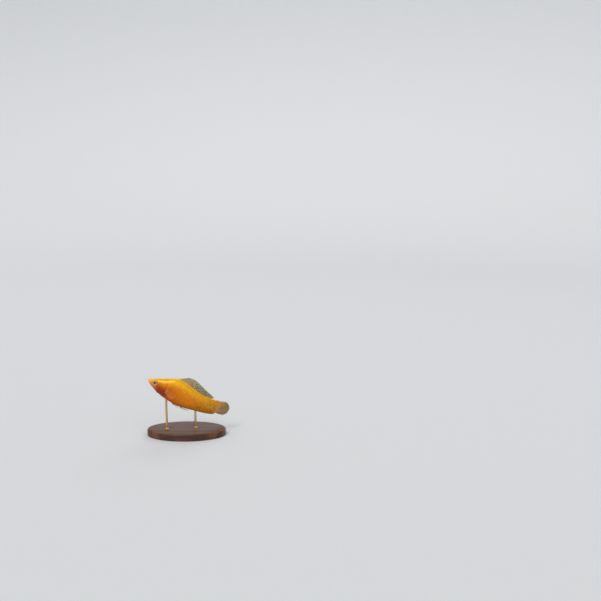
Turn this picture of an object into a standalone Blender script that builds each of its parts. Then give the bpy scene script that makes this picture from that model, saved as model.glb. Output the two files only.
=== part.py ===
# A gold sailfin molly, an adult male, held on a small display stand.
# Metres, +Z up. The head points to -X and the left flank to -Y, with the tail swung towards +Y.
# The origin is the middle of the underside of the stand's base.
import math

import bmesh
import bpy
from mathutils import Vector
from mathutils.bvhtree import BVHTree

MM = 0.001

# Sizes are in millimetres on the fish laid straight and level. A point there is
# (along, across, up): along from the snout's tip, across to the right flank, up from the mouth.
BODY_LENGTH = 69.5
GAP = 0.3
SPINE_STEP = 0.25

# The pose: how far the head is raised, and how far the tail has swung to the right.
HEAD_UP = math.radians(26.0)
TAIL_SWING = math.radians(52.0)
SWING_START = 20.0
SWING_END = 92.0
SNOUT_PLACE = (-33.5, -3.5, 53.0)

# along, top of the back, bottom of the belly, half width, level of the widest place,
# fullness of the upper half, fullness of the lower half (2 is an ellipse)
BODY_SECTIONS = (
    (0.0, 0.9, -0.8, 2.1, 0.15, 2.2, 2.0),
    (3.0, 2.35, -3.05, 3.1, 0.0, 2.5, 2.1),
    (7.5, 4.55, -5.3, 4.1, 0.0, 2.7, 2.1),
    (13.0, 7.1, -7.55, 5.1, 0.2, 2.3, 2.1),
    (19.0, 10.0, -9.1, 5.8, 0.4, 2.0, 2.1),
    (25.5, 12.6, -10.1, 6.0, 0.3, 1.85, 2.1),
    (31.5, 11.7, -10.9, 5.8, 0.0, 1.85, 2.1),
    (38.5, 9.6, -10.7, 5.1, -0.4, 1.9, 2.0),
    (46.5, 7.5, -9.8, 4.1, -0.8, 2.0, 2.0),
    (54.0, 6.3, -9.3, 3.1, -1.1, 2.0, 2.0),
    (62.0, 5.9, -9.0, 2.3, -1.3, 2.1, 2.1),
    (69.5, 5.9, -8.5, 1.5, -1.25, 2.2, 2.2),
)
NOSE_ROUND_HEIGHT = 1.0
NOSE_ROUND_WIDTH = 2.6
AROUND = 32
NOSE_RINGS = 8
NOSE_REACH = 4.0
RING_STEP = 1.9

# Where the body is parted.
NECK_CUT = 16.3
TAIL_CUT = 47.0

# The mouth's line and the back edge of the lower jaw, each through the mouth's corner.
MOUTH_CORNER = (2.9, -1.2)
MOUTH_SLOPE = math.radians(-24.0)
JAW_SLOPE = math.radians(-62.0)
LIP_RADIUS = 0.42
LIP_TURN = math.radians(74.0)
LIP_STEPS = 13

EYE_ALONG = 7.8
EYE_UP = 0.85
EYE_RADIUS = 2.3
EYE_DEPTH = 1.5
EYE_SINK = 0.85
EYE_RIM = 0.3
NOSTRILS = ((3.3, 1.2), (4.6, 2.1))
NOSTRIL_RADIUS = 0.28
NOSTRIL_DEPTH = 0.5

# The gill cover, a thin plate whose back edge is a free flap.
GILL_TOP = math.radians(36.0)
GILL_BOTTOM = math.radians(146.0)
GILL_FRONT = 11.2
GILL_WIDTH = 6.4
GILL_INNER = -0.5
GILL_LIFT = 0.45

# All the fins: the membrane's thickness, how far a ray stands out of it at its root, how much
# of that it loses by its tip, how soon it has risen out of the root, half a ray's share of its
# space, and where the root's flesh ends.
MEMBRANE = 0.5
RIDGE = 0.34
RIDGE_LOSS = 0.6
RIDGE_RISE = 0.15
RIDGE_SHARE = 0.26
ROOT_END = 0.35
# The paired fins' rays leave the skin squarely and have turned along their way by this share.
SWEEP_END = 0.35
SWEEP_LAG = 0.12

# Each fin: its number of rays and of rows from root to tip, its root's thickness and its shape.
DORSAL_RAYS = 15
DORSAL_ROWS = 6
DORSAL_ROOT = 1.15
DORSAL_START = 25.8
DORSAL_END = 61.5
DORSAL_LENGTHS = ((0.0, 8.6), (0.12, 10.8), (0.4, 10.4), (0.7, 8.0), (0.88, 5.2), (1.0, 3.0))
DORSAL_LEAN_FIRST = math.radians(31.0)
DORSAL_LEAN_LAST = math.radians(18.0)
DORSAL_WAVE = 0.9
DORSAL_WAVES_ALONG = 1.2
DORSAL_WAVES_OUT = 0.15

TAIL_RAYS = 18
TAIL_ROWS = 5
TAIL_LENGTHS = ((0.0, 10.4), (0.14, 14.8), (0.5, 18.6), (0.82, 18.2), (1.0, 15.0))
TAIL_TURN_TOP = math.radians(-1.0)
TAIL_TURN_BOTTOM = math.radians(0.0)
TAIL_NOTCH = 1.3
TAIL_NOTCH_AT = 0.2
TAIL_INSET = 0.2
TAIL_WAVE = 0.5
TAIL_WAVES_ALONG = 0.8
TAIL_WAVE_START = 0.3

PECTORAL_RAYS = 9
PECTORAL_ROWS = 5
PECTORAL_ROOT = 0.95
PECTORAL_LENGTH = 10.5
PECTORAL_LONGEST = 0.25
PECTORAL_LOSS = 0.63
PECTORAL_TOP = (18.9, 1.3)
PECTORAL_BOTTOM = (19.9, -2.6)
PECTORAL_DROOP_TOP = math.radians(-8.0)
PECTORAL_DROOP_BOTTOM = math.radians(-30.0)
PECTORAL_SPREAD = 0.2
PECTORAL_STAND_OFF = 0.9

PELVIC_RAYS = 6
PELVIC_ROWS = 5
PELVIC_ROOT = 0.6
PELVIC_LENGTH = 8.0
PELVIC_SHORTEST = 0.66
PELVIC_ALONG = 28.9
PELVIC_BACKWARD = 1.2
# Turns round the belly from its keel, for the outer and the inner ray.
PELVIC_OUTER = math.radians(19.0)
PELVIC_INNER = math.radians(5.5)
PELVIC_DROOP_OUTER = math.radians(-6.0)
PELVIC_DROOP_INNER = math.radians(-3.0)
PELVIC_SPREAD_OUTER = 0.12
PELVIC_SPREAD_INNER = 0.02
PELVIC_STAND_OFF = 0.55

GONOPODIUM_RAYS = 4
GONOPODIUM_ROWS = 6
GONOPODIUM_ROOT = 1.2
GONOPODIUM_LENGTH = 9.0
GONOPODIUM_SHORTEST = 0.82
GONOPODIUM_ALONG = 36.2
GONOPODIUM_BREADTH = 2.0
# How far its front and back rays drop below the belly, and how much of that they win back.
GONOPODIUM_DROPS = (1.75, 0.5)
GONOPODIUM_RISES = (1.15, 0.55)

BASE_LENGTH = 72.0
BASE_WIDTH = 42.0
BASE_THICK = 6.0
BASE_BEVEL = 1.2
BASE_SIDES = 48
ROD_RADIUS = 1.0
ROD_SIDES = 16
ROD_SUNK = 3.5
ROD_PLACES = (("stand_rod_front", 22.5), ("stand_rod_rear", 51.5))


# Curves and the bent body

def smooth(table, at, column=1):
    # A smooth curve through one column of a table, with no overshoot between its rows.
    rows = [(row[0], row[column]) for row in table]
    if at <= rows[0][0]:
        return rows[0][1]
    if at >= rows[-1][0]:
        return rows[-1][1]
    slopes = [(b[1] - a[1]) / (b[0] - a[0]) for a, b in zip(rows, rows[1:])]
    tangents = [slopes[0]]
    for before, after in zip(slopes, slopes[1:]):
        level = before * after <= 0.0
        tangents.append(0.0 if level else 2.0 * before * after / (before + after))
    tangents.append(slopes[-1])
    for i, (start, end) in enumerate(zip(rows, rows[1:])):
        if at <= end[0]:
            break
    span = end[0] - start[0]
    t = (at - start[0]) / span
    rise = t * t * (3.0 - 2.0 * t)
    lead = t * (1.0 - t) * (1.0 - t) * tangents[i]
    lag = t * t * (t - 1.0) * tangents[i + 1]
    return start[1] + (end[1] - start[1]) * rise + span * (lead + lag)


def blend(first, last, share):
    return first + (last - first) * share


def ease(share):
    share = min(max(share, 0.0), 1.0)
    return share * share * (3.0 - 2.0 * share)


def heading(along):
    return TAIL_SWING * ease((along - SWING_START) / (SWING_END - SWING_START))


def make_spine(length):
    # The backbone's course, seen from above, in short steps.
    points = [(0.0, 0.0)]
    for i in range(int(length / SPINE_STEP)):
        turn = heading((i + 0.5) * SPINE_STEP)
        x, y = points[-1]
        points.append((x + SPINE_STEP * math.cos(turn), y + SPINE_STEP * math.sin(turn)))
    return points


SPINE = make_spine(SWING_END)


def bent(point):
    # A point of the straight fish, in metres on the fish bent but still level.
    along, across, up = point
    turn = heading(along)
    step = min(max(int(along / SPINE_STEP), 0), len(SPINE) - 1)
    left_over = along - step * SPINE_STEP
    x = SPINE[step][0] + left_over * math.cos(turn) - across * math.sin(turn)
    y = SPINE[step][1] + left_over * math.sin(turn) + across * math.cos(turn)
    return Vector((x, y, up)) * MM


def nose_round(along, radius):
    if along >= radius:
        return 1.0
    return math.sqrt(max(0.0, 1.0 - (1.0 - along / radius) ** 2))


def section(along):
    top, bottom, width, level, crown, keel = (
        smooth(BODY_SECTIONS, along, column) for column in range(1, 7)
    )
    tall = nose_round(along, NOSE_ROUND_HEIGHT)
    wide = nose_round(along, NOSE_ROUND_WIDTH)
    return (top - level) * tall, (level - bottom) * tall, width * wide, level, crown, keel


def body_point(along, angle, lift=0.0):
    # angle is 0 on the back, a quarter turn on the right flank and half a turn on the belly.
    rise, drop, width, level, crown, keel = section(along)
    sine, cosine = math.sin(angle), math.cos(angle)
    power = 2.0 / (crown if cosine >= 0.0 else keel)
    across = math.copysign(width * abs(sine) ** power, sine)
    up = level + math.copysign(abs(cosine) ** power, cosine) * (rise if cosine >= 0.0 else drop)
    point = Vector((along, across, up))
    if lift:
        point += lift * body_normal(along, angle)
    return point


def body_normal(along, angle):
    ahead = body_point(along + 0.1, angle) - body_point(max(along - 0.1, 0.0), angle)
    around = body_point(along, angle + 0.02) - body_point(along, angle - 0.02)
    return ahead.cross(around).normalized()


def angle_at(along, up):
    # The angle round the right flank whose point lies at this height.
    rise, drop, width, level, crown, keel = section(along)
    above = up >= level
    share = min(abs(up - level) / (rise if above else drop), 1.0)
    cosine = share ** ((crown if above else keel) / 2.0)
    return math.acos(cosine if above else -cosine)


def half_width_at(along, up):
    return body_point(along, angle_at(along, up)).y


# Meshes

def material(name, colour, roughness, metallic):
    made = bpy.data.materials.new(name)
    made.use_nodes = True
    shader = made.node_tree.nodes["Principled BSDF"]
    shader.inputs["Base Color"].default_value = (*colour, 1.0)
    shader.inputs["Roughness"].default_value = roughness
    shader.inputs["Metallic"].default_value = metallic
    return made


def solid(name, points, faces):
    mesh = bpy.data.meshes.new(name)
    mesh.from_pydata(points, [], faces)
    work = bmesh.new()
    work.from_mesh(mesh)
    bmesh.ops.recalc_face_normals(work, faces=work.faces)
    work.to_mesh(mesh)
    work.free()
    obj = bpy.data.objects.new(name, mesh)
    bpy.context.scene.collection.objects.link(obj)
    return obj


def finish(obj, finish_material, sharp=40.0):
    obj.data.materials.clear()
    obj.data.materials.append(finish_material)
    obj.data.shade_smooth()
    obj.data.set_sharp_from_angle(angle=math.radians(sharp))


def keep_largest(obj):
    # Drops the scraps and sealed hollows that a union or a cut can leave.
    work = bmesh.new()
    work.from_mesh(obj.data)
    unseen = set(work.verts)
    islands = []
    while unseen:
        island = set()
        to_visit = [unseen.pop()]
        while to_visit:
            vert = to_visit.pop()
            island.add(vert)
            for edge in vert.link_edges:
                other = edge.other_vert(vert)
                if other in unseen:
                    unseen.discard(other)
                    to_visit.append(other)
        islands.append(island)
    largest = max(islands, key=reach)
    bmesh.ops.delete(work, geom=[v for v in work.verts if v not in largest], context="VERTS")
    work.to_mesh(obj.data)
    work.free()


def reach(verts):
    sides = [[vert.co[axis] for vert in verts] for axis in range(3)]
    return math.prod(max(side) - min(side) for side in sides)


def combine(obj, others, operation):
    # Joins the others to the object, or cuts them out of it, and removes them.
    group = bpy.data.collections.new("pieces")
    bpy.context.scene.collection.children.link(group)
    for other in others:
        bpy.context.scene.collection.objects.unlink(other)
        group.objects.link(other)
    modifier = obj.modifiers.new(operation.lower(), "BOOLEAN")
    modifier.operation = operation
    modifier.operand_type = "COLLECTION"
    modifier.collection = group
    modifier.solver = "EXACT"
    graph = bpy.context.evaluated_depsgraph_get()
    made = bpy.data.meshes.new_from_object(obj.evaluated_get(graph))
    obj.modifiers.clear()
    obj.data = made
    for other in list(group.objects):
        bpy.data.objects.remove(other)
    bpy.data.collections.remove(group)
    keep_largest(obj)


def two_sided(wide, tall):
    # The faces of a closed plate given as two grids of points, split alike on both.
    def at(side, i, j):
        return side * wide * tall + i * tall + j

    faces = []
    for side in (0, 1):
        for i in range(wide - 1):
            for j in range(tall - 1):
                a, b = at(side, i, j), at(side, i + 1, j)
                c, d = at(side, i + 1, j + 1), at(side, i, j + 1)
                faces += [(a, b, c), (a, c, d)]
    rim = [(i, 0) for i in range(wide)]
    rim += [(wide - 1, j) for j in range(1, tall)]
    rim += [(i, tall - 1) for i in range(wide - 2, -1, -1)]
    rim += [(0, j) for j in range(tall - 2, 0, -1)]
    for here, there in zip(rim, rim[1:] + rim[:1]):
        faces.append((at(0, *here), at(0, *there), at(1, *there)))
        faces.append((at(0, *here), at(1, *there), at(1, *here)))
    return faces


def plate(name, centre, thickness, columns, rows):
    # A closed plate about the surface centre(u, v).
    points = []
    for side in (-0.5, 0.5):
        for u in columns:
            for v in rows:
                offset = plate_normal(centre, u, v) * thickness(u, v) * side
                points.append(bent(centre(u, v) + offset))
    return solid(name, points, two_sided(len(columns), len(rows)))


def plate_normal(centre, u, v):
    step = 0.01
    across = centre(min(u + step, 1.0), v) - centre(max(u - step, 0.0), v)
    out = centre(u, min(v + step, 1.0)) - centre(u, max(v - step, 0.0))
    return across.cross(out).normalized()


def ray_columns(rays):
    # Each ray is a crest with a foot on either side of it, and flat membrane between rays.
    columns = [0.0]
    for ray in range(rays):
        columns += [(ray + 0.5 + side * RIDGE_SHARE) / rays for side in (-1, 0, 1)]
    return columns + [1.0]


def ray_ridge(u, rays):
    return max(0.0, 1.0 - abs(u * rays % 1.0 - 0.5) / RIDGE_SHARE)


def even(count):
    return [i / count for i in range(count + 1)]


def fin(name, centre, rays, rows, root_thickness):
    # A membrane that thins from its root, with its rays as ridges in its own surface.
    def thickness(u, v):
        rooted = blend(root_thickness(u), MEMBRANE, ease(v / ROOT_END))
        risen = min(v / RIDGE_RISE, 1.0)
        return rooted + RIDGE * risen * ray_ridge(u, rays) * (1.0 - RIDGE_LOSS * v)

    return plate(name, centre, thickness, ray_columns(rays), even(rows))


# The body

def ring_places(start, end):
    places = [NOSE_REACH * (i / NOSE_RINGS) ** 1.7 for i in range(1, NOSE_RINGS + 1)]
    count = round((BODY_LENGTH - NOSE_REACH) / RING_STEP)
    places += [blend(NOSE_REACH, BODY_LENGTH, i / count) for i in range(1, count)]
    inside = [place for place in places if start + 0.5 < place < end - 0.5]
    if start == 0.0:
        return [place for place in places if place < 0.5] + inside + [end]
    return [start] + inside + [end]


def body_length(name, start, end):
    # One length of the body, closed by a flat face at each cut.
    points = []
    faces = []
    places = ring_places(start, end)
    for place in places:
        for i in range(AROUND):
            points.append(bent(body_point(place, math.tau * i / AROUND)))
    for ring in range(len(places) - 1):
        for i in range(AROUND):
            a, b = ring * AROUND + i, ring * AROUND + (i + 1) % AROUND
            faces.append((a, b, b + AROUND, a + AROUND))
    if start == 0.0:
        points.append(bent(body_point(0.0, 0.0)))
        tip = len(points) - 1
        faces += [(i, (i + 1) % AROUND, tip) for i in range(AROUND)]
    else:
        faces.append(tuple(range(AROUND)))
    faces.append(tuple(len(places) * AROUND - AROUND + i for i in range(AROUND)))
    return solid(name, points, faces)


def prism(name, outline, half_width):
    # An outline in the fish's middle plane, drawn out to both sides.
    count = len(outline)
    points = [bent((along, side, up)) for side in (-half_width, half_width) for along, up in outline]
    faces = [tuple(range(count)), tuple(range(count, 2 * count))]
    faces += [(i, (i + 1) % count, count + (i + 1) % count, count + i) for i in range(count)]
    return solid(name, points, faces)


def jaw_outline(grow):
    # The lower jaw's space: below the mouth's line and before the jaw's back edge.
    def line(slope):
        ahead = Vector((math.cos(slope), math.sin(slope)))
        return Vector(MOUTH_CORNER) + grow * Vector((-ahead.y, ahead.x)), ahead

    mouth, mouth_way = line(MOUTH_SLOPE)
    jaw, jaw_way = line(JAW_SLOPE)
    corner_turn = mouth_way.x * jaw_way.y - mouth_way.y * jaw_way.x
    off = jaw - mouth
    corner = mouth + mouth_way * ((off.x * jaw_way.y - off.y * jaw_way.x) / corner_turn)
    front = corner - mouth_way * 6.0
    under = corner + jaw_way * 6.0
    return (tuple(corner), tuple(front), (front.x, under.y), tuple(under))


def lip(name, tree, side):
    # A lip rolled round the snout beside the mouth's line, thinning to the corners.
    normal = Vector((-math.sin(MOUTH_SLOPE), 0.0, math.cos(MOUTH_SLOPE))) * side
    corner = Vector((MOUTH_CORNER[0], 0.0, MOUTH_CORNER[1]))
    back = Vector((math.cos(MOUTH_SLOPE), 0.0, math.sin(MOUTH_SLOPE)))
    points = []
    for i in range(LIP_STEPS):
        turn = blend(-LIP_TURN, LIP_TURN, i / (LIP_STEPS - 1))
        ray = Vector((-math.cos(turn) * back.x, math.sin(turn), -math.cos(turn) * back.z))
        radius = LIP_RADIUS * (1.0 - 0.55 * (abs(turn) / LIP_TURN) ** 3)
        start = corner + normal * (radius + GAP / 2)
        hit = tree.ray_cast(start * MM, ray)[0] / MM
        middle = hit - ray * radius * 0.55
        for j in range(8):
            around = math.tau * j / 8
            points.append((middle + radius * (math.cos(around) * ray + math.sin(around) * normal)) * MM)
    faces = [tuple(range(8)), tuple(len(points) - 8 + j for j in range(8))]
    for i in range(LIP_STEPS - 1):
        for j in range(8):
            a, b = 8 * i + j, 8 * i + (j + 1) % 8
            faces.append((a, b, b + 8, a + 8))
    return solid(name, points, faces)


def eye_frame(side):
    # The eye's middle and the way it looks, square to the head's side.
    angle = angle_at(EYE_ALONG, EYE_UP)
    surface = body_point(EYE_ALONG, angle)
    out = body_normal(EYE_ALONG, angle)
    mirror = Vector((1.0, side, 1.0))
    return (surface - out * EYE_SINK) * mirror, (out * mirror).normalized()


def eye_ball(name, side, grow=0.0):
    middle, out = eye_frame(side)
    work = bmesh.new()
    bmesh.ops.create_uvsphere(work, u_segments=20, v_segments=10, radius=1.0)
    wide, deep = EYE_RADIUS + grow, EYE_DEPTH + grow
    turn = out.to_track_quat("Z", "Y")
    for vert in work.verts:
        flat = Vector((vert.co.x * wide, vert.co.y * wide, vert.co.z * deep))
        vert.co = (middle + turn @ flat) * MM
    mesh = bpy.data.meshes.new(name)
    work.to_mesh(mesh)
    work.free()
    obj = bpy.data.objects.new(name, mesh)
    bpy.context.scene.collection.objects.link(obj)
    return obj


def ring_about(name, middle, out, radius, thick, sides=20):
    # A round fold of skin about a middle.
    turn = out.to_track_quat("Z", "Y")
    points = []
    faces = []
    for i in range(sides):
        around = math.tau * i / sides
        way = Vector((math.cos(around), math.sin(around), 0.0))
        for j in range(6):
            tube = math.tau * j / 6
            flat = way * (radius + thick * math.cos(tube)) + Vector((0, 0, thick * math.sin(tube)))
            points.append((middle + turn @ flat) * MM)
            here, there = i * 6, (i + 1) % sides * 6
            faces.append((here + j, here + (j + 1) % 6, there + (j + 1) % 6, there + j))
    return solid(name, points, faces)


def nostril(name, side, place):
    angle = angle_at(*place)
    mirror = Vector((1.0, side, 1.0))
    surface = body_point(place[0], angle) * mirror
    out = (body_normal(place[0], angle) * mirror).normalized()
    turn = out.to_track_quat("Z", "Y")
    points = []
    for depth in (-NOSTRIL_DEPTH, 1.0):
        for i in range(8):
            around = math.tau * i / 8
            flat = Vector((math.cos(around), math.sin(around), 0.0)) * NOSTRIL_RADIUS
            points.append((surface + turn @ (flat + Vector((0.0, 0.0, depth)))) * MM)
    faces = [tuple(range(8)), tuple(range(8, 16))]
    faces += [(i, (i + 1) % 8, 8 + (i + 1) % 8, 8 + i) for i in range(8)]
    return solid(name, points, faces)


def gill_cover(name, side, margin=0.0, inner=GILL_INNER, outer=None):
    # The plate follows the head's own surface. With a margin it is the space cut for it.
    def place(u, v):
        spare = margin / GILL_WIDTH
        turn = blend(GILL_TOP, GILL_BOTTOM, v + blend(-spare, spare, v))
        bulge = math.sin(math.pi * blend(0.17, 0.86, v)) ** 0.7
        front = GILL_FRONT + 0.9 * math.cos(math.pi * v)
        return blend(front - margin, front + GILL_WIDTH * bulge + margin, u), turn

    def face(u, v, lift):
        along, turn = place(u, v)
        return body_point(along, turn, lift) * Vector((1.0, side, 1.0))

    def lifted(u):
        return GILL_LIFT * ease(u) if outer is None else outer

    columns, rows = even(6), even(10)
    points = [bent(face(u, v, inner)) for u in columns for v in rows]
    points += [bent(face(u, v, lifted(u))) for u in columns for v in rows]
    return solid(name, points, two_sided(len(columns), len(rows)))


# The fins

def dorsal_centre(u, v):
    # The sail stands on the back and lies half folded, its rays leaning to the tail.
    along = blend(DORSAL_START, DORSAL_END, u)
    lean = blend(DORSAL_LEAN_FIRST, DORSAL_LEAN_LAST, u)
    out = smooth(DORSAL_LENGTHS, u) * v
    turns = DORSAL_WAVES_ALONG * u + DORSAL_WAVES_OUT * v
    wave = DORSAL_WAVE * v * math.sin(math.tau * turns)
    root = body_point(along, 0.0).z + GAP
    return Vector((along + out * math.cos(lean), wave, root + out * math.sin(lean)))


def tail_centre(u, v):
    # A rounded fan on the flat end of the tail stalk.
    top, bottom = body_point(BODY_LENGTH, 0.0).z, body_point(BODY_LENGTH, math.pi).z
    turn = blend(TAIL_TURN_TOP, TAIL_TURN_BOTTOM, u)
    out = smooth(TAIL_LENGTHS, u) * v
    wave = TAIL_WAVE * v * math.sin(math.tau * (TAIL_WAVES_ALONG * u + TAIL_WAVE_START))
    notch = TAIL_NOTCH * u ** 3 * v / TAIL_NOTCH_AT * math.exp(1.0 - v / TAIL_NOTCH_AT)
    root = blend(top - TAIL_INSET, bottom + TAIL_INSET, u) + notch
    return Vector((BODY_LENGTH + GAP + out * math.cos(turn), wave, root + out * math.sin(turn)))


def lagging(v):
    # The share of a ray's length reached at v, which starts slowly.
    return (1.0 + SWEEP_LAG) * v * v / (v + SWEEP_LAG)


def swept_back(root, out, way, length, stand_off, v):
    # A ray leaves the body square to its skin and then turns to lie along its way.
    turned = 1.0 - (1.0 - min(v / SWEEP_END, 1.0)) ** 2
    return root + out * stand_off * turned + way * length * lagging(v)


def pectoral_centre(side):
    mirror = Vector((1.0, side, 1.0))

    def centre(u, v):
        along = blend(PECTORAL_TOP[0], PECTORAL_BOTTOM[0], u)
        angle = angle_at(along, blend(PECTORAL_TOP[1], PECTORAL_BOTTOM[1], u))
        droop = blend(PECTORAL_DROOP_TOP, PECTORAL_DROOP_BOTTOM, u)
        way = Vector((math.cos(droop), PECTORAL_SPREAD, math.sin(droop))).normalized()
        length = PECTORAL_LENGTH * (1.0 - PECTORAL_LOSS * abs(u - PECTORAL_LONGEST) ** 1.4)
        root = body_point(along, angle, GAP)
        out = body_normal(along, angle)
        return swept_back(root, out, way, length, PECTORAL_STAND_OFF, v) * mirror

    return centre


def pelvic_centre(side):
    mirror = Vector((1.0, side, 1.0))

    def centre(u, v):
        along = PELVIC_ALONG + PELVIC_BACKWARD * u
        angle = math.pi - blend(PELVIC_OUTER, PELVIC_INNER, u)
        droop = blend(PELVIC_DROOP_OUTER, PELVIC_DROOP_INNER, u)
        spread = blend(PELVIC_SPREAD_OUTER, PELVIC_SPREAD_INNER, u)
        way = Vector((math.cos(droop), spread, math.sin(droop))).normalized()
        length = PELVIC_LENGTH * blend(1.0, PELVIC_SHORTEST, u)
        root = body_point(along, angle, GAP)
        out = body_normal(along, angle)
        return swept_back(root, out, way, length, PELVIC_STAND_OFF, v) * mirror

    return centre


def gonopodium_centre(u, v):
    # The male's rod of joined rays, laid back along the belly.
    along = GONOPODIUM_ALONG + GONOPODIUM_BREADTH * u
    drop = blend(*GONOPODIUM_DROPS, u) * (1.0 - (1.0 - v) ** 3) - blend(*GONOPODIUM_RISES, u) * v
    out = GONOPODIUM_LENGTH * blend(1.0, GONOPODIUM_SHORTEST, u) * lagging(v)
    return Vector((along + out, 0.0, body_point(along, math.pi).z - GAP - drop))


def make_fins():
    fin("dorsal_fin", dorsal_centre, DORSAL_RAYS, DORSAL_ROWS, lambda u: DORSAL_ROOT)

    def tail_root(u):
        up = tail_centre(u, 0.0).z
        return max(MEMBRANE, 2.0 * half_width_at(BODY_LENGTH, up))

    fin("tail_fin", tail_centre, TAIL_RAYS, TAIL_ROWS, tail_root)
    for name, side in (("left", -1.0), ("right", 1.0)):
        arm, belly_fin = "pectoral_fin_" + name, "pelvic_fin_" + name
        fin(arm, pectoral_centre(side), PECTORAL_RAYS, PECTORAL_ROWS, lambda u: PECTORAL_ROOT)
        fin(belly_fin, pelvic_centre(side), PELVIC_RAYS, PELVIC_ROWS, lambda u: PELVIC_ROOT)
    rod = "gonopodium"
    fin(rod, gonopodium_centre, GONOPODIUM_RAYS, GONOPODIUM_ROWS, lambda u: GONOPODIUM_ROOT)


# Putting the fish together

def tree_of(obj):
    world = obj.matrix_world
    points = [world @ vert.co for vert in obj.data.vertices]
    return BVHTree.FromPolygons(points, [tuple(face.vertices) for face in obj.data.polygons])


def make_head():
    head = body_length("head", 0.0, NECK_CUT - GAP / 2)
    jaw = body_length("lower_jaw", 0.0, NECK_CUT - GAP / 2)
    tree = tree_of(head)
    combine(head, [prism("jaw_space", jaw_outline(GAP / 2), 8.0)], "DIFFERENCE")
    combine(jaw, [prism("jaw_block", jaw_outline(-GAP / 2), 8.0)], "INTERSECT")
    combine(jaw, [lip("lower_lip", tree, -1.0)], "UNION")
    folds = [lip("upper_lip", tree, 1.0)]
    for side in (-1.0, 1.0):
        middle, out = eye_frame(side)
        folds.append(ring_about("eye_rim", middle + out * EYE_SINK, out, EYE_RADIUS + EYE_RIM, EYE_RIM))
    combine(head, folds, "UNION")
    hollows = [eye_ball("socket", side, GAP) for side in (-1.0, 1.0)]
    hollows += [nostril("nostril", side, place) for side in (-1.0, 1.0) for place in NOSTRILS]
    combine(head, hollows, "DIFFERENCE")
    return head


def make_fish():
    head = make_head()
    torso = body_length("torso", NECK_CUT + GAP / 2, TAIL_CUT - GAP / 2)
    body_length("tail_stalk", TAIL_CUT + GAP / 2, BODY_LENGTH)
    for name, side in (("left", -1.0), ("right", 1.0)):
        gill_cover("gill_cover_" + name, side)
        eye_ball("eye_" + name, side)
    for flesh in (head, torso):
        spaces = [
            gill_cover("gill_space", side, GAP, GILL_INNER - GAP, 2.0) for side in (-1.0, 1.0)
        ]
        combine(flesh, spaces, "DIFFERENCE")
    make_fins()


def pose_fish():
    # Every piece of the fish hangs on one empty at its snout, which raises its head.
    pose = bpy.data.objects.new("fish_pose", None)
    bpy.context.scene.collection.objects.link(pose)
    for obj in list(bpy.context.scene.collection.objects):
        if obj.type == "MESH":
            obj.parent = pose
    pose.location = Vector(SNOUT_PLACE) * MM
    pose.rotation_euler = (0.0, HEAD_UP, 0.0)
    bpy.context.view_layer.update()


# The stand

def make_base():
    work = bmesh.new()
    bmesh.ops.create_circle(work, cap_ends=True, segments=BASE_SIDES, radius=0.5)
    for vert in work.verts:
        vert.co.x *= BASE_LENGTH * MM
        vert.co.y *= BASE_WIDTH * MM
    raised = bmesh.ops.extrude_face_region(work, geom=work.faces[:])["geom"]
    lifted = [item for item in raised if isinstance(item, bmesh.types.BMVert)]
    bmesh.ops.translate(work, verts=lifted, vec=(0.0, 0.0, BASE_THICK * MM))
    rim = [edge for edge in work.edges if all(vert in lifted for vert in edge.verts)]
    bmesh.ops.bevel(
        work, geom=rim, offset=BASE_BEVEL * MM, segments=2, profile=0.5, affect="EDGES"
    )
    bmesh.ops.recalc_face_normals(work, faces=work.faces)
    mesh = bpy.data.meshes.new("stand_base")
    work.to_mesh(mesh)
    work.free()
    base = bpy.data.objects.new("stand_base", mesh)
    bpy.context.scene.collection.objects.link(base)
    return base


def upright(name, x, y, radius, bottom, top_at):
    # An upright round bar whose top follows the height top_at(x, y) gives.
    points = []
    for level in ("bottom", "top"):
        for i in range(ROD_SIDES):
            turn = math.tau * i / ROD_SIDES
            at = (x + radius * math.cos(turn), y + radius * math.sin(turn))
            points.append((*at, bottom if level == "bottom" else top_at(*at)))
    points.append((x, y, top_at(x, y)))
    centre = len(points) - 1
    faces = [tuple(range(ROD_SIDES))]
    for i in range(ROD_SIDES):
        after = (i + 1) % ROD_SIDES
        faces.append((i, after, ROD_SIDES + after, ROD_SIDES + i))
        faces.append((ROD_SIDES + i, ROD_SIDES + after, centre))
    return solid(name, points, faces)


def make_stand():
    base = make_base()
    flesh = [tree_of(bpy.data.objects[name]) for name in ("torso", "tail_stalk")]
    pose = bpy.data.objects["fish_pose"].matrix_world

    def belly(x, y):
        hits = [tree.ray_cast(Vector((x, y, 0.0)), Vector((0, 0, 1)))[0] for tree in flesh]
        return min(hit.z for hit in hits if hit) - GAP * MM

    sockets = []
    for name, along in ROD_PLACES:
        foot = pose @ bent(body_point(along, math.pi))
        bottom = (BASE_THICK - ROD_SUNK) * MM
        upright(name, foot.x, foot.y, ROD_RADIUS * MM, bottom, belly)
        wide = (ROD_RADIUS + GAP) * MM
        sockets.append(
            upright("socket", foot.x, foot.y, wide, bottom - GAP * MM, lambda x, y: 2 * BASE_THICK * MM)
        )
    combine(base, sockets, "DIFFERENCE")


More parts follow.
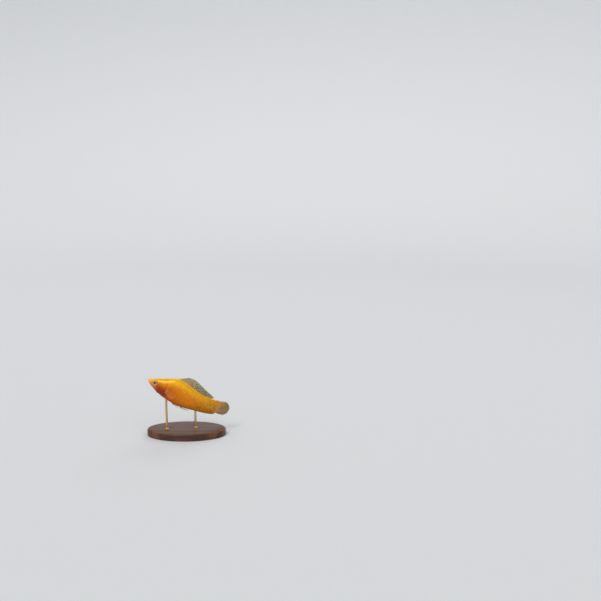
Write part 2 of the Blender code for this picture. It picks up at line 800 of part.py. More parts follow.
# Colours, as seen on the fish: name, colour, roughness, metallic
FINISHES = (
    ("head", (0.78, 0.30, 0.02), 0.35, 0.0),
    ("lower_jaw", (0.62, 0.22, 0.05), 0.35, 0.0),
    ("gill_cover_left", (0.48, 0.10, 0.02), 0.3, 0.0),
    ("gill_cover_right", (0.48, 0.10, 0.02), 0.3, 0.0),
    ("torso", (0.74, 0.28, 0.01), 0.35, 0.0),
    ("tail_stalk", (0.55, 0.26, 0.02), 0.35, 0.0),
    ("dorsal_fin", (0.42, 0.30, 0.16), 0.4, 0.0),
    ("tail_fin", (0.40, 0.22, 0.05), 0.4, 0.0),
    ("pectoral_fin_left", (0.60, 0.28, 0.08), 0.4, 0.0),
    ("pectoral_fin_right", (0.60, 0.28, 0.08), 0.4, 0.0),
    ("pelvic_fin_left", (0.55, 0.55, 0.50), 0.4, 0.0),
    ("pelvic_fin_right", (0.55, 0.55, 0.50), 0.4, 0.0),
    ("gonopodium", (0.52, 0.52, 0.46), 0.4, 0.0),
    ("eye_left", (0.08, 0.02, 0.01), 0.08, 0.0),
    ("eye_right", (0.08, 0.02, 0.01), 0.08, 0.0),
    ("stand_base", (0.10, 0.05, 0.025), 0.4, 0.0),
    ("stand_rod_front", (0.75, 0.58, 0.30), 0.25, 1.0),
    ("stand_rod_rear", (0.75, 0.58, 0.30), 0.25, 1.0),
)


def main():
    for obj in list(bpy.data.objects):
        bpy.data.objects.remove(obj, do_unlink=True)
    make_fish()
    pose_fish()
    make_stand()
    for name, colour, roughness, metallic in FINISHES:
        finish(bpy.data.objects[name], material(name, colour, roughness, metallic))


main()
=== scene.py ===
# Looks of a gold sailfin molly, an adult male, held on a display stand.
# The fish is worked out straight and level in millimetres, as (along, across, up): along from the
# snout's tip, across to the right flank, up from the mouth. posed() bends it and sets it in the
# world.
import math

import bpy
import numpy as np
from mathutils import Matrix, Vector


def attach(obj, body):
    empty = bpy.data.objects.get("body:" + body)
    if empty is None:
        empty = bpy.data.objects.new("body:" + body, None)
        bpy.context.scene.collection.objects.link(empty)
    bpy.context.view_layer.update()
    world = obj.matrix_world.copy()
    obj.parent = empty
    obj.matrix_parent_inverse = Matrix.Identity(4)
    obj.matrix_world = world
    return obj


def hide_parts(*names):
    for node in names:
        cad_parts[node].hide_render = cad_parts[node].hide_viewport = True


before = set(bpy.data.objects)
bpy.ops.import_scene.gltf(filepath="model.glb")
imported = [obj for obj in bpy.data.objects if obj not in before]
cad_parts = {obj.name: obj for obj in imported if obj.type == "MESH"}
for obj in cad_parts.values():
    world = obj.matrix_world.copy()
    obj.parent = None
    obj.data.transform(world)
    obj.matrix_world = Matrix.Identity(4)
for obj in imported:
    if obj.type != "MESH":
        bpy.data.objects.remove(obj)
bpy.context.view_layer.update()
print("frame loaded")


# the fish's shape, worked on whole arrays of points

fish = {
    "gap": 0.3,  # between the body and a fin's root
    "headUp": math.radians(26.0),
    "tailSwing": math.radians(52.0),
    "swingStart": 20.0,
    "swingEnd": 92.0,
    "spineStep": 0.25,
    "snout": (-33.5, -3.5, 53.0),  # the snout's place in the world
    "length": 69.5,
    "skinEnd": 71.4,  # the scaly sheath tapers onto the tail fin
    "noseHigh": 1.0,
    "noseWide": 2.6,
    # along, top, bottom, half width, level of the widest place, fullness above and below it
    "sections": (
        (0.0, 0.9, -0.8, 2.1, 0.15, 2.2, 2.0),
        (3.0, 2.35, -3.05, 3.1, 0.0, 2.5, 2.1),
        (7.5, 4.55, -5.3, 4.1, 0.0, 2.7, 2.1),
        (13.0, 7.1, -7.55, 5.1, 0.2, 2.3, 2.1),
        (19.0, 10.0, -9.1, 5.8, 0.4, 2.0, 2.1),
        (25.5, 12.6, -10.1, 6.0, 0.3, 1.85, 2.1),
        (31.5, 11.7, -10.9, 5.8, 0.0, 1.85, 2.1),
        (38.5, 9.6, -10.7, 5.1, -0.4, 1.9, 2.0),
        (46.5, 7.5, -9.8, 4.1, -0.8, 2.0, 2.0),
        (54.0, 6.3, -9.3, 3.1, -1.1, 2.0, 2.0),
        (62.0, 5.9, -9.0, 2.3, -1.3, 2.1, 2.1),
        (69.5, 5.9, -8.5, 1.5, -1.25, 2.2, 2.2),
        (71.4, 5.7, -8.2, 0.3, -1.25, 2.2, 2.2),
    ),
}


def curve(table, at, column=1):
    # a smooth run through one column of a table, with no overshoot
    xs = np.array([row[0] for row in table], float)
    ys = np.array([row[column] for row in table], float)
    slopes = np.diff(ys) / np.diff(xs)
    same = slopes[:-1] * slopes[1:] > 0
    total = np.where(same, slopes[:-1] + slopes[1:], 1.0)
    inner = np.where(same, 2.0 * slopes[:-1] * slopes[1:] / total, 0.0)
    tangents = np.concatenate(([slopes[0]], inner, [slopes[-1]]))
    at = np.clip(at, xs[0], xs[-1])
    i = np.clip(np.searchsorted(xs, at, side="right") - 1, 0, len(xs) - 2)
    span = xs[i + 1] - xs[i]
    t = (at - xs[i]) / span
    rise = t * t * (3.0 - 2.0 * t)
    lead = t * (1.0 - t) ** 2 * tangents[i]
    lag = t * t * (t - 1.0) * tangents[i + 1]
    return ys[i] + (ys[i + 1] - ys[i]) * rise + span * (lead + lag)


def blend(first, last, share):
    return first + (last - first) * share


def ease(share):
    share = np.clip(share, 0.0, 1.0)
    return share * share * (3.0 - 2.0 * share)


def hump(distance, width):
    return np.exp(-(distance / width) ** 2)


def unit(vectors):
    return vectors / np.maximum(np.linalg.norm(vectors, axis=-1, keepdims=True), 1e-9)


def heading(along):
    share = (along - fish["swingStart"]) / (fish["swingEnd"] - fish["swingStart"])
    return fish["tailSwing"] * ease(share)


spineAlong = np.arange(0.0, fish["swingEnd"] + fish["spineStep"], fish["spineStep"])
spineTurns = heading(spineAlong[:-1] + fish["spineStep"] / 2)
spineX = np.concatenate(([0.0], np.cumsum(fish["spineStep"] * np.cos(spineTurns))))
spineY = np.concatenate(([0.0], np.cumsum(fish["spineStep"] * np.sin(spineTurns))))


def posed(points):
    # millimetres on the straight fish to metres in the world
    along, across, up = points[..., 0], points[..., 1], points[..., 2]
    turn = heading(along)
    near = np.clip(along, 0.0, spineAlong[-1])
    x = np.interp(near, spineAlong, spineX) + (along - near) * np.cos(turn) - across * np.sin(turn)
    y = np.interp(near, spineAlong, spineY) + (along - near) * np.sin(turn) + across * np.cos(turn)
    c, s = math.cos(fish["headUp"]), math.sin(fish["headUp"])
    world = np.stack((x * c + up * s, y, up * c - x * s), -1) + np.array(fish["snout"])
    return world * 0.001


def noseRound(along, radius):
    return np.sqrt(np.clip(1.0 - (1.0 - np.minimum(along / radius, 1.0)) ** 2, 0.0, 1.0))


def section(along):
    top, bottom, width, level, crown, keel = (
        curve(fish["sections"], along, column) for column in range(1, 7)
    )
    tall = noseRound(along, fish["noseHigh"])
    wide = noseRound(along, fish["noseWide"])
    return (top - level) * tall, (level - bottom) * tall, width * wide, level, crown, keel


def bodyPoint(along, angle):
    # angle is 0 on the back, a quarter turn on the right flank and half a turn on the belly
    along, angle = np.broadcast_arrays(np.asarray(along, float), np.asarray(angle, float))
    rise, drop, width, level, crown, keel = section(along)
    sine, cosine = np.sin(angle), np.cos(angle)
    power = 2.0 / np.where(cosine >= 0.0, crown, keel)
    across = np.sign(sine) * width * np.abs(sine) ** power
    up = level + np.sign(cosine) * np.abs(cosine) ** power * np.where(cosine >= 0.0, rise, drop)
    return np.stack((along, across, up), -1)


def bodyNormal(along, angle):
    ahead = bodyPoint(along + 0.1, angle) - bodyPoint(np.maximum(along - 0.1, 0.0), angle)
    around = bodyPoint(along, angle + 0.02) - bodyPoint(along, angle - 0.02)
    return unit(np.cross(ahead, around))


def onBody(along, angle, lift):
    lift = np.asarray(lift, float)[..., None]
    return bodyPoint(along, angle) + bodyNormal(along, angle) * lift


def upAt(along, angle):
    return bodyPoint(along, np.full(np.shape(along), angle))[..., 2]


def angleAt(along, up):
    # the angle round the right flank whose point lies at this height
    rise, drop, width, level, crown, keel = section(along)
    above = up >= level
    share = np.minimum(np.abs(up - level) / np.where(above, rise, drop), 1.0)
    cosine = share ** (np.where(above, crown, keel) / 2.0)
    return np.arccos(np.where(above, cosine, -cosine))


# how far round the flank each angle lies, as a share of the way from back to belly
girthStep = 0.2
girthAlong = np.arange(0.0, fish["skinEnd"] + girthStep, girthStep)
girthAngles = np.linspace(0.0, math.pi, 241)
girthRing = bodyPoint(np.maximum(girthAlong, 0.02)[:, None], girthAngles[None, :])
girthSteps = np.linalg.norm(np.diff(girthRing, axis=1), axis=2)
girthLengths = np.concatenate((np.zeros((len(girthAlong), 1)), np.cumsum(girthSteps, axis=1)), 1)
girthHalf = girthLengths[:, -1]
girthMiddle = np.array([np.interp(math.pi / 2, girthAngles, row) for row in girthLengths])
girthShares = np.linspace(0.0, 1.0, 161)
girthTable = np.array([
    np.interp(girthShares, row / row[-1], girthAngles) for row in girthLengths
])


def girthAt(along):
    # how far the flank's widest line and the belly lie from the back
    return np.interp(along, girthAlong, girthMiddle), np.interp(along, girthAlong, girthHalf)


def angleOf(along, share):
    # reads the table between its entries, and runs over the back and the belly to the other side
    folded = 1.0 - np.abs(1.0 - np.abs(share))
    i = np.clip(along / girthStep, 0.0, len(girthAlong) - 1.001)
    j = np.clip(folded, 0.0, 1.0) * (len(girthShares) - 1.001)
    i0, j0 = i.astype(int), j.astype(int)
    near = blend(girthTable[i0, j0], girthTable[i0, j0 + 1], j - j0)
    far = blend(girthTable[i0 + 1, j0], girthTable[i0 + 1, j0 + 1], j - j0)
    angle = blend(near, far, i - i0)
    angle = np.where(share < 0.0, -angle, angle)
    return np.where(share > 1.0, 2.0 * math.pi - angle, angle)


# what shapes the head's skin

head = {
    "mouth": (2.9, -1.2),  # the mouth's corner, as (along, up)
    "mouthSlope": math.radians(-24.0),
    "jawSlope": math.radians(-62.0),
    "slitDeep": 0.5,
    "slitWide": 0.11,
    "lipHigh": 0.27,
    "lipWide": 0.30,
    "lipAway": 0.42,
    "cornerThin": 0.55, "cornerRun": 2.4,  # how far the lips thin towards the mouth's corner
    "creaseDeep": 0.07, "creaseAway": 0.95, "creaseWide": 0.16,
    "foldDeep": 0.09, "foldWide": 0.16, "foldRun": 3.2,  # the fold under the mouth's corner
    "nostrils": ((3.3, 1.2), (4.6, 2.1)),
    "nostrilWide": 0.2,
    "nostrilDeep": 0.42,
    "rimHigh": 0.08, "rimAway": 0.4, "rimWide": 0.12,  # round each nostril
    # small sense pores under and over the eye
    "pores": ((4.7, -1.5), (5.7, -2.35), (6.9, -2.95), (8.3, -3.15), (9.7, -2.8), (10.7, -1.9),
              (5.9, 3.25), (7.6, 3.75), (9.3, 3.9)),
    "poreWide": 0.17,
    "poreDeep": 0.13,
}
gill = {
    # degrees from the back, along: the gill cover's free edge and its front
    "edge": ((26, 15.2), (36, 16.15), (63, 17.7), (91, 17.6), (118, 16.2), (146, 13.9),
             (165, 12.4), (180, 11.9)),
    "front": ((26, 12.2), (36, 12.1), (63, 11.8), (91, 11.2), (118, 10.6), (146, 10.3),
              (180, 9.6)),
    "high": 0.42,
    "drop": 0.26,  # how soon the skin falls behind the free edge
    "slotDeep": 0.38, "slotRun": 0.55,
    "grooveDeep": 0.08, "grooveWide": 0.3,  # along the cover's front
    "topFade": 25.0, "bottomFade": 150.0,  # in degrees, where the edge fades in and out
    "folds": (0.8, 1.5, 2.2),  # throat folds, ahead of the edge
    "foldDeep": 0.09, "foldWide": 0.17, "throat": 138.0,  # they start at this many degrees
}
eye = {
    "along": 7.8, "up": 0.85, "radius": 2.38, "deep": 1.55, "sink": 0.82,
    "lid": 2.16, "lidSoft": 0.09, "lidSlope": 1.15, "rimHigh": 0.13, "rimEnd": 3.4, "socket": 1.35,
    "lookAhead": 0.62, "lookUp": 0.12, "pupil": 1.08, "lens": 0.1,
}
# the pectoral fin's root, and the low ridge that carries the sail
arm = {"top": (18.9, 1.3), "bottom": (19.9, -2.6), "lobe": 0.35, "lobeWide": 0.8}
ridge = {"start": 23.5, "end": 60.0, "fade": 3.0, "high": 0.22, "wide": 0.7}


def mouthPlane(points):
    # along and up from the mouth's corner, how far ahead of it and how far off the mouth's line
    slope = head["mouthSlope"]
    along, up = points[..., 0] - head["mouth"][0], points[..., 2] - head["mouth"][1]
    ahead = -(along * math.cos(slope) + up * math.sin(slope))
    off = up * math.cos(slope) - along * math.sin(slope)
    return along, up, ahead, off, ease((ahead + 0.15) / 0.5)


def mouthLift(points):
    # the slit between the lips, the lips, the creases round them and the fold under the corner
    along, up, ahead, off, within = mouthPlane(points)
    toTip = np.clip(ahead / head["cornerRun"], 0.0, 1.0)
    full = within * (1.0 - head["cornerThin"] * (1.0 - toTip) ** 2)
    lips = head["lipHigh"] * full * hump(np.abs(off) - head["lipAway"], head["lipWide"])
    crease = hump(np.abs(off) - head["creaseAway"], head["creaseWide"])
    crease = head["creaseDeep"] * within * crease
    slit = head["slitDeep"] * within * hump(off, head["slitWide"])
    jaw = up * math.cos(head["jawSlope"]) - along * math.sin(head["jawSlope"])
    below = ease(-up / 0.6) * ease((head["foldRun"] + up) / 1.5)
    return lips - crease - slit - head["foldDeep"] * below * hump(jaw, head["foldWide"])


def farFrom(points, place):
    # distance from a place on the skin given as (along, up), the same on both flanks
    spot = bodyPoint(place[0], angleAt(np.array(place[0]), np.array(place[1])))
    folded = np.stack((points[..., 0], np.abs(points[..., 1]), points[..., 2]), -1)
    return np.linalg.norm(folded - spot, axis=-1)


def gillLines(angle):
    degrees = np.degrees(np.arccos(np.cos(angle)))
    return curve(gill["edge"], degrees), curve(gill["front"], degrees), degrees


def gillLift(along, angle):
    edge, front, degrees = gillLines(angle)
    behind = along - edge
    fall = ease(behind / gill["drop"])
    raised = gill["high"] * ease((along - front) / (edge - front)) * (1.0 - fall)
    slot = gill["slotDeep"] * fall * np.exp(-np.maximum(behind, 0.0) / gill["slotRun"])
    groove = gill["grooveDeep"] * hump(along - front - 0.2, gill["grooveWide"])
    shown = ease((degrees - gill["topFade"]) / 13.0)
    shown = shown * blend(1.0, 0.6, ease((degrees - gill["bottomFade"]) / 30.0))
    lift = shown * (raised - slot - groove)
    throat = ease((degrees - gill["throat"]) / 14.0)
    for fold in gill["folds"]:
        lift = lift - gill["foldDeep"] * throat * hump(behind + fold, gill["foldWide"])
    return lift


def armLift(points):
    # the fleshy lobe that carries the pectoral fin
    first, last = np.array(arm["top"]), np.array(arm["bottom"])
    reach = last - first
    away = np.stack((points[..., 0], points[..., 2]), -1) - first
    share = np.clip((away @ reach) / (reach @ reach), 0.0, 1.0)
    far = np.linalg.norm(away - share[..., None] * reach, axis=-1)
    return arm["lobe"] * hump(far, arm["lobeWide"]) * (np.abs(points[..., 1]) > 2.0)


def sailRidge(points):
    along = points[..., 0]
    shown = ease((along - ridge["start"]) / ridge["fade"])
    shown = shown * (1.0 - ease((along - ridge["end"]) / ridge["fade"]))
    return ridge["high"] * hump(points[..., 1], ridge["wide"]) * shown * (points[..., 2] > 0.0)


def skinLift(along, angle, points, flap=True):
    # how far the skin stands off the plain body, with or without the gill cover
    lift = mouthLift(points) + armLift(points) + sailRidge(points)
    for place in head["nostrils"]:
        far = farFrom(points, place)
        lift = lift - head["nostrilDeep"] * hump(far, head["nostrilWide"])
        lift = lift + head["rimHigh"] * hump(far - head["rimAway"], head["rimWide"])
    for place in head["pores"]:
        lift = lift - head["poreDeep"] * hump(farFrom(points, place), head["poreWide"])
    return lift + gillLift(along, angle) if flap else lift


def skinFolds(along, angle, points):
    # how far each point lies in the mouth, a nostril or a pore, in the slot behind the gill cover,
    # on a lip; the first two are masks for painted shade
    off, within = mouthPlane(points)[3:]
    shadedPits = within * hump(off, 0.13)
    for place in head["nostrils"]:
        shadedPits = shadedPits + hump(farFrom(points, place), 0.2)
    for place in head["pores"]:
        shadedPits = shadedPits + 0.5 * hump(farFrom(points, place), 0.14)
    edge, front, degrees = gillLines(angle)
    behind = along - edge
    slot = ease((behind + 0.05) / 0.2) * np.exp(-np.maximum(behind, 0.0) / 0.4)
    slot = slot * ease((degrees - 30.0) / 12.0)
    return np.stack((shadedPits, slot, within * ease((1.0 - np.abs(off)) / 0.3)), -1)


def eyeFrame(side):
    # the eye's place on the head's side, and the way it looks
    angle = angleAt(np.array(eye["along"]), np.array(eye["up"]))
    mirror = np.array((1.0, side, 1.0))
    return bodyPoint(eye["along"], angle) * mirror, unit(bodyNormal(eye["along"], angle) * mirror)


def eyeSocket(points, side):
    # skin round the eye rises to a soft lid, and dips under the eye inside it
    middle, out = eyeFrame(side)
    off = points - middle
    height = off @ out
    far = np.linalg.norm(off - height[..., None] * out, axis=-1)
    near = (points[..., 1] * side > 0.0) & (far < eye["rimEnd"]) & (height > -3.5)
    share = 1.0 - ease((far - eye["lid"] - 0.1) / (eye["rimEnd"] - eye["lid"] - 0.1))
    soft = eye["lidSoft"] * np.log1p(np.exp((eye["lid"] - far) / eye["lidSoft"]))
    rim = np.maximum(eye["rimHigh"] - eye["lidSlope"] * soft, -eye["socket"])
    return points + np.where(near, share * (rim - height), 0.0)[..., None] * out


# shader helpers

def rgb(red, green, blue):
    # a colour as a screen shows it, in the shader's own numbers
    parts = [channel / 255.0 for channel in (red, green, blue)]
    linear = [p / 12.92 if p <= 0.04045 else ((p + 0.055) / 1.055) ** 2.4 for p in parts]
    return (*linear, 1.0)


class Wire:
    # one socket of a material's nodes, for use in sums and products
    def __init__(self, tree, socket=None):
        self.tree = tree
        self.socket = socket

    def node(self, kind, settings=None, values=None, output=0):
        made = self.tree.nodes.new("ShaderNode" + kind)
        for name, value in (settings or {}).items():
            if name == "stops":
                ramp = made.color_ramp
                for place, colour in value[1:-1]:
                    ramp.elements.new(place)
                for element, (place, colour) in zip(ramp.elements, value):
                    element.position = place
                    element.color = colour
            else:
                setattr(made, name, value)
        for name, value in (values or {}).items():
            if isinstance(value, Wire):
                self.tree.links.new(value.socket, made.inputs[name])
            else:
                made.inputs[name].default_value = value
        return Wire(self.tree, made.outputs[output])

    def maths(self, operation, first, second=0.0):
        return self.node("Math", {"operation": operation}, {0: first, 1: second})

    def __add__(self, other):
        return self.maths("ADD", self, other)

    def __radd__(self, other):
        return self.maths("ADD", other, self)

    def __sub__(self, other):
        return self.maths("SUBTRACT", self, other)

    def __rsub__(self, other):
        return self.maths("SUBTRACT", other, self)

    def __mul__(self, other):
        return self.maths("MULTIPLY", self, other)

    def __rmul__(self, other):
        return self.maths("MULTIPLY", other, self)

    def __pow__(self, other):
        return self.maths("POWER", self, other)

    def __rpow__(self, other):
        return self.maths("POWER", other, self)

    def sine(self):
        return self.maths("SINE", self)

    def floor(self):
        return self.maths("FLOOR", self)

    def atMost(self, limit):
        return self.maths("MINIMUM", self, limit)

    def step(self, start, end):
        # 0 before start and 1 past end, eased between, also where end comes first
        values = {"Value": self, "From Min": start, "From Max": end, "To Min": 0.0, "To Max": 1.0}
        return self.node("MapRange", {"interpolation_type": "SMOOTHSTEP"}, values)

    def ramp(self, stops):
        return self.node("ValToRGB", {"stops": stops}, {"Fac": self})

    def mix(self, first, last):
        # this mask turns the first colour into the last
        return self.node("Mix", {"data_type": "RGBA"}, {0: self, 6: first, 7: last}, 2)

    def parts(self):
        return [self.node("SeparateXYZ", None, {0: self}, i) for i in range(3)]

    def objectPlace(self):
        return self.node("TexCoord", None, None, "Object")

    def own(self, name):
        # the three parts of the piece's own attribute
        return self.node("Attribute", {"attribute_name": name}, None, "Vector").parts()

    def noise(self, scale, detail=2.0):
        return self.node("TexNoise", None, {"Vector": self, "Scale": scale, "Detail": detail})

    def stretched(self, scale, turn=(0.0, 0.0, 0.0)):
        return self.node("Mapping", None, {"Vector": self, "Scale": scale, "Rotation": turn})


def newMaterial(name, settings):
    material = bpy.data.materials.new(name)
    material.use_nodes = True
    shader = material.node_tree.nodes["Principled BSDF"]
    for socket, value in settings.items():
        shader.inputs[socket].default_value = value
    return material, Wire(material.node_tree), shader


def feed(shader, socket, wire):
    wire.tree.links.new(wire.socket, shader.inputs[socket])


def bump(shader, height, strength, distance):
    values = {"Height": height, "Strength": strength, "Distance": distance}
    feed(shader, "Normal", height.node("Bump", None, values))


# mesh helpers

sides = ((-1.0, "left"), (1.0, "right"))


def named(name):
    made = bpy.context.object
    made.name = name
    made.data.name = name
    return made


def places(obj):
    found = np.zeros(len(obj.data.vertices) * 3)
    obj.data.vertices.foreach_get("co", found)
    return found.reshape(-1, 3)


def setPlaces(obj, points):
    obj.data.vertices.foreach_set("co", np.ascontiguousarray(points, float).ravel())
    obj.data.update()


def cornerOwners(mesh):
    owners = np.zeros(len(mesh.loops), int)
    mesh.loops.foreach_get("vertex_index", owners)
    return owners


def setAttribute(obj, name, values):
    layer = obj.data.attributes.new(name, "FLOAT_VECTOR", "POINT")
    layer.data.foreach_set("vector", np.ascontiguousarray(values, np.float32).ravel())


def faceOut(obj):
    bpy.ops.object.select_all(action="DESELECT")
    obj.select_set(True)
    bpy.context.view_layer.objects.active = obj
    bpy.ops.object.mode_set(mode="EDIT")
    bpy.ops.mesh.select_all(action="SELECT")
    bpy.ops.mesh.normals_make_consistent(inside=False)
    bpy.ops.object.mode_set(mode="OBJECT")


def dress(obj, material, slot, *nodes):
    faceOut(obj)
    obj.data.materials.clear()
    obj.data.materials.append(material)
    obj.data.shade_smooth()
    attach(obj, "root")
    if nodes:
        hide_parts(*nodes)


# colours of the flesh, with highlights and shade painted on it, the same on the skin and on its
# scales

flesh = {
    # places from snout to tail, and the colour there, along the back, the flank and the belly
    "back": ((0.0, rgb(238, 206, 140)), (0.06, rgb(236, 182, 52)), (0.2, rgb(238, 178, 14)),
             (0.4, rgb(237, 171, 8)), (0.7, rgb(240, 165, 15)), (1.0, rgb(214, 140, 28))),
    "flank": ((0.0, rgb(230, 186, 120)), (0.05, rgb(230, 152, 52)), (0.15, rgb(207, 104, 6)),
              (0.35, rgb(222, 117, 0)), (0.6, rgb(224, 130, 2)), (0.85, rgb(212, 134, 8)),
              (1.0, rgb(196, 126, 18))),
    "belly": ((0.0, rgb(222, 170, 120)), (0.06, rgb(212, 114, 58)), (0.16, rgb(173, 58, 8)),
              (0.3, rgb(187, 78, 8)), (0.45, rgb(214, 108, 12)), (0.65, rgb(212, 136, 20)),
              (1.0, rgb(198, 142, 30))),
    "breast": rgb(142, 40, 2),
    # painted highlights: a cream line along the top of the head and nape, and a yellow one along
    # the sail's root
    "crest": rgb(255, 232, 158),
    "sailRootHighlight": rgb(255, 214, 60),
    "tailSpot": rgb(255, 192, 78),
    "scaleRim": rgb(150, 70, 6),
    "lip": rgb(236, 176, 130),
    # painted shade in the slot behind the gill cover
    "slot": rgb(104, 26, 8),
    # painted shade in the mouth, the nostrils and the pores
    "pitShade": rgb(84, 30, 12),
    "cloud": 0.16,  # how far the bands wander up and down
    "scaleShade": 0.15,
    "patchShade": 0.32,
}


def fleshAndHighlightColour(wire, place, along, share, chance):
    run = along * (1.0 / 72.0)
    level = share + (place.noise(160.0, 3.0) - 0.5) * flesh["cloud"]
    colour = level.step(0.1, 0.5).mix(run.ramp(flesh["back"]), run.ramp(flesh["flank"]))
    colour = level.step(0.52, 0.92).mix(colour, run.ramp(flesh["belly"]))
    # the warm red of the gill cover and breast
    warm = along.step(7.5, 12.0) * along.step(26.0, 16.5) * share.step(0.38, 0.6)
    colour = (warm * share.step(1.15, 0.8) * 0.85).mix(colour, flesh["breast"])
    # painted highlights: a cream line over the head and nape, and a yellow one along the sail's
    # root
    crest = share.step(0.085, 0.02) * along.step(0.8, 3.0)
    colour = (crest * along.step(28.0, 20.0) * 0.7).mix(colour, flesh["crest"])
    rear = along.step(22.0, 30.0) * along.step(70.5, 66.0)
    colour = (crest * rear * 0.7).mix(colour, flesh["sailRootHighlight"])
    # a little lighter or darker from scale to scale and from patch to patch
    shade = (chance - 0.5) * flesh["scaleShade"] + 1
    shade = shade + (place.noise(420.0) - 0.5) * flesh["patchShade"]
    return wire.node("HueSaturation", None, {"Color": colour, "Value": shade})


# the skin: one ball drawn out along the fish, its poles at the snout and the tail

skin = {
    "depth": 0.12,  # it lies this deep, and the scales come back up to the surface
    "rings": 380, "around": 252,
    "noseRings": 60, "noseEnd": 4.0, "noseCrowding": 1.75,
    "headRings": 130, "headEnd": 19.6,
    # rings bend to run along the gill cover's free edge, from one place to the other
    "bendAt": 16.4, "bendFrom": 3.0, "bendTo": 34.0,
}


def skinMaterial():
    material, wire, shader = newMaterial("golden skin", {
        "Metallic": 0.1, "Coat Weight": 0.15, "Coat Roughness": 0.2, "Specular IOR Level": 0.28})
    along, share, chance = wire.own("fish")
    shadedPits, slot, lips = wire.own("folds")
    place = wire.objectPlace()
    colour = fleshAndHighlightColour(wire, place, along, share, chance)
    colour = (lips * 0.3).mix(colour, flesh["lip"])
    # painted shade in the slot behind the gill cover
    colour = (slot.step(0.1, 0.9) * 0.8).mix(colour, flesh["slot"])
    # painted shade in the mouth, the nostrils and the pores
    colour = (shadedPits.step(0.15, 0.9) * 0.85).mix(colour, flesh["pitShade"])
    feed(shader, "Base Color", colour)
    feed(shader, "Roughness", place.noise(500.0) * 0.2 + 0.28)
    pores = place.noise(2200.0, 1.0).step(0.62, 0.72)
    bump(shader, place.noise(900.0, 4.0) - pores * 0.25, 0.35, 0.00006)
    return material


def ringPlaces():
    crowded = (np.arange(1, skin["noseRings"] + 1) / skin["noseRings"]) ** skin["noseCrowding"]
    front = np.linspace(skin["noseEnd"], skin["headEnd"], skin["headRings"] + 1)[1:]
    rest = skin["rings"] - 1 - skin["noseRings"] - skin["headRings"]
    back = np.linspace(skin["headEnd"], fish["skinEnd"], rest + 1)[1:]
    return np.concatenate(([0.0], skin["noseEnd"] * crowded, front, back, [fish["skinEnd"]]))


def bentRings(along, share):
    edge = gillLines(angleOf(along, share))[0]
    fore = ease((along - skin["bendFrom"]) / (skin["bendAt"] - skin["bendFrom"]))
    aft = 1.0 - ease((along - skin["bendAt"]) / (skin["bendTo"] - skin["bendAt"]))
    return along + (edge - skin["bendAt"]) * fore * aft


def makeSkin():
    bpy.ops.mesh.primitive_uv_sphere_add(
        segments=skin["around"], ring_count=skin["rings"], radius=1.0)
    made = named("skin")
    ball = places(made)
    down = np.arccos(np.clip(ball[:, 2], -1.0, 1.0)) / math.pi * skin["rings"]
    ring = np.rint(down).astype(int)
    along = ringPlaces()[ring]
    share = np.arctan2(ball[:, 1], ball[:, 0]) / math.pi
    share = np.where((ring == 0) | (ring == skin["rings"]), 0.0, share)
    along = bentRings(along, share)
    angle = angleOf(along, share)
    plain = bodyPoint(along, angle)
    points = onBody(along, angle, skinLift(along, angle, plain) - skin["depth"])
    points[ring == 0] = (skin["depth"], 0.0, section(0.0)[3])
    points[ring == skin["rings"]] = (fish["skinEnd"] + 0.05, 0.0, section(fish["skinEnd"])[3])
    for side in (-1.0, 1.0):
        points = eyeSocket(points, side)
    setAttribute(made, "fish", np.stack((along, np.abs(share), np.full(len(share), 0.5)), -1))
    setAttribute(made, "folds", skinFolds(along, angle, plain))
    setPlaces(made, posed(points))
    # the unwrap follows the fish: round its body, and from snout to tail
    layer = made.data.uv_layers.active
    flat = np.zeros(len(made.data.loops) * 2)
    layer.data.foreach_get("uv", flat)
    flat[1::2] = along[cornerOwners(made.data)] / (fish["skinEnd"] + 1.0)
    layer.data.foreach_set("uv", flat)
    dress(made, skinMaterial(), "skin_body", "head", "lower_jaw", "gill_cover_left",
          "gill_cover_right", "torso", "tail_stalk")


makeSkin()
print("skin done")


# the scales: thin round-ended plates in overlapping rows, each rising from root to free edge

scale = {
    "front": -1.55, "back": 1.62, "half": 1.28, "columns": 9, "shares": (0.0, 0.45, 0.8, 1.0),
    "unit": 1.6,  # the length that counts as 1 in the scale's material
    "rise": 0.155, "thick": 0.05, "dome": 0.045, "buried": 0.07,
    "bellyRise": 0.65, "browRise": 0.5, "browBuried": 0.2,
    "step": 1.95, "row": 1.24, "start": 12.6,
    "spare": 0.55,  # rows nearer to the back or belly than this share of a row are left out
    "headSize": 0.7, "headStart": 5.4, "brow": 7.0,
    # the head's scales: their room round the eye, and where they start and end
    "eyeRoom": 3.6, "browShare": 0.34, "cheekStart": 10.6, "cheekEnd": 1.3, "cheekLow": 0.8,
    # the nape's: how far down the flank, and how far past the first column and the gill cover
    "napeShare": 0.2, "napeStart": 0.3, "napeEnd": 4.0,
    "napeHeadEnd": 14.0,  # the head's small scales end here on the nape
    "backEdge": 15.6,  # stands for the gill cover's edge above its top
    "throat": 14.5, "tail": 70.4, "tailRound": 1.0,  # the sheath on the tail fin has a round end
    # scales astride the back and the belly, in spans that leave room for the fins
    "midStep": 0.72, "midRise": 0.04,
    "backSpans": ((9.6, 24.6), (63.6, 69.0)),
    "bellySpans": ((15.4, 27.0), (31.0, 35.0), (41.0, 69.0)),
    "patch": 0.003,
    "sharp": 50.0,  # edges that turn by more than this are shaded sharp
    "seed": 11,
}


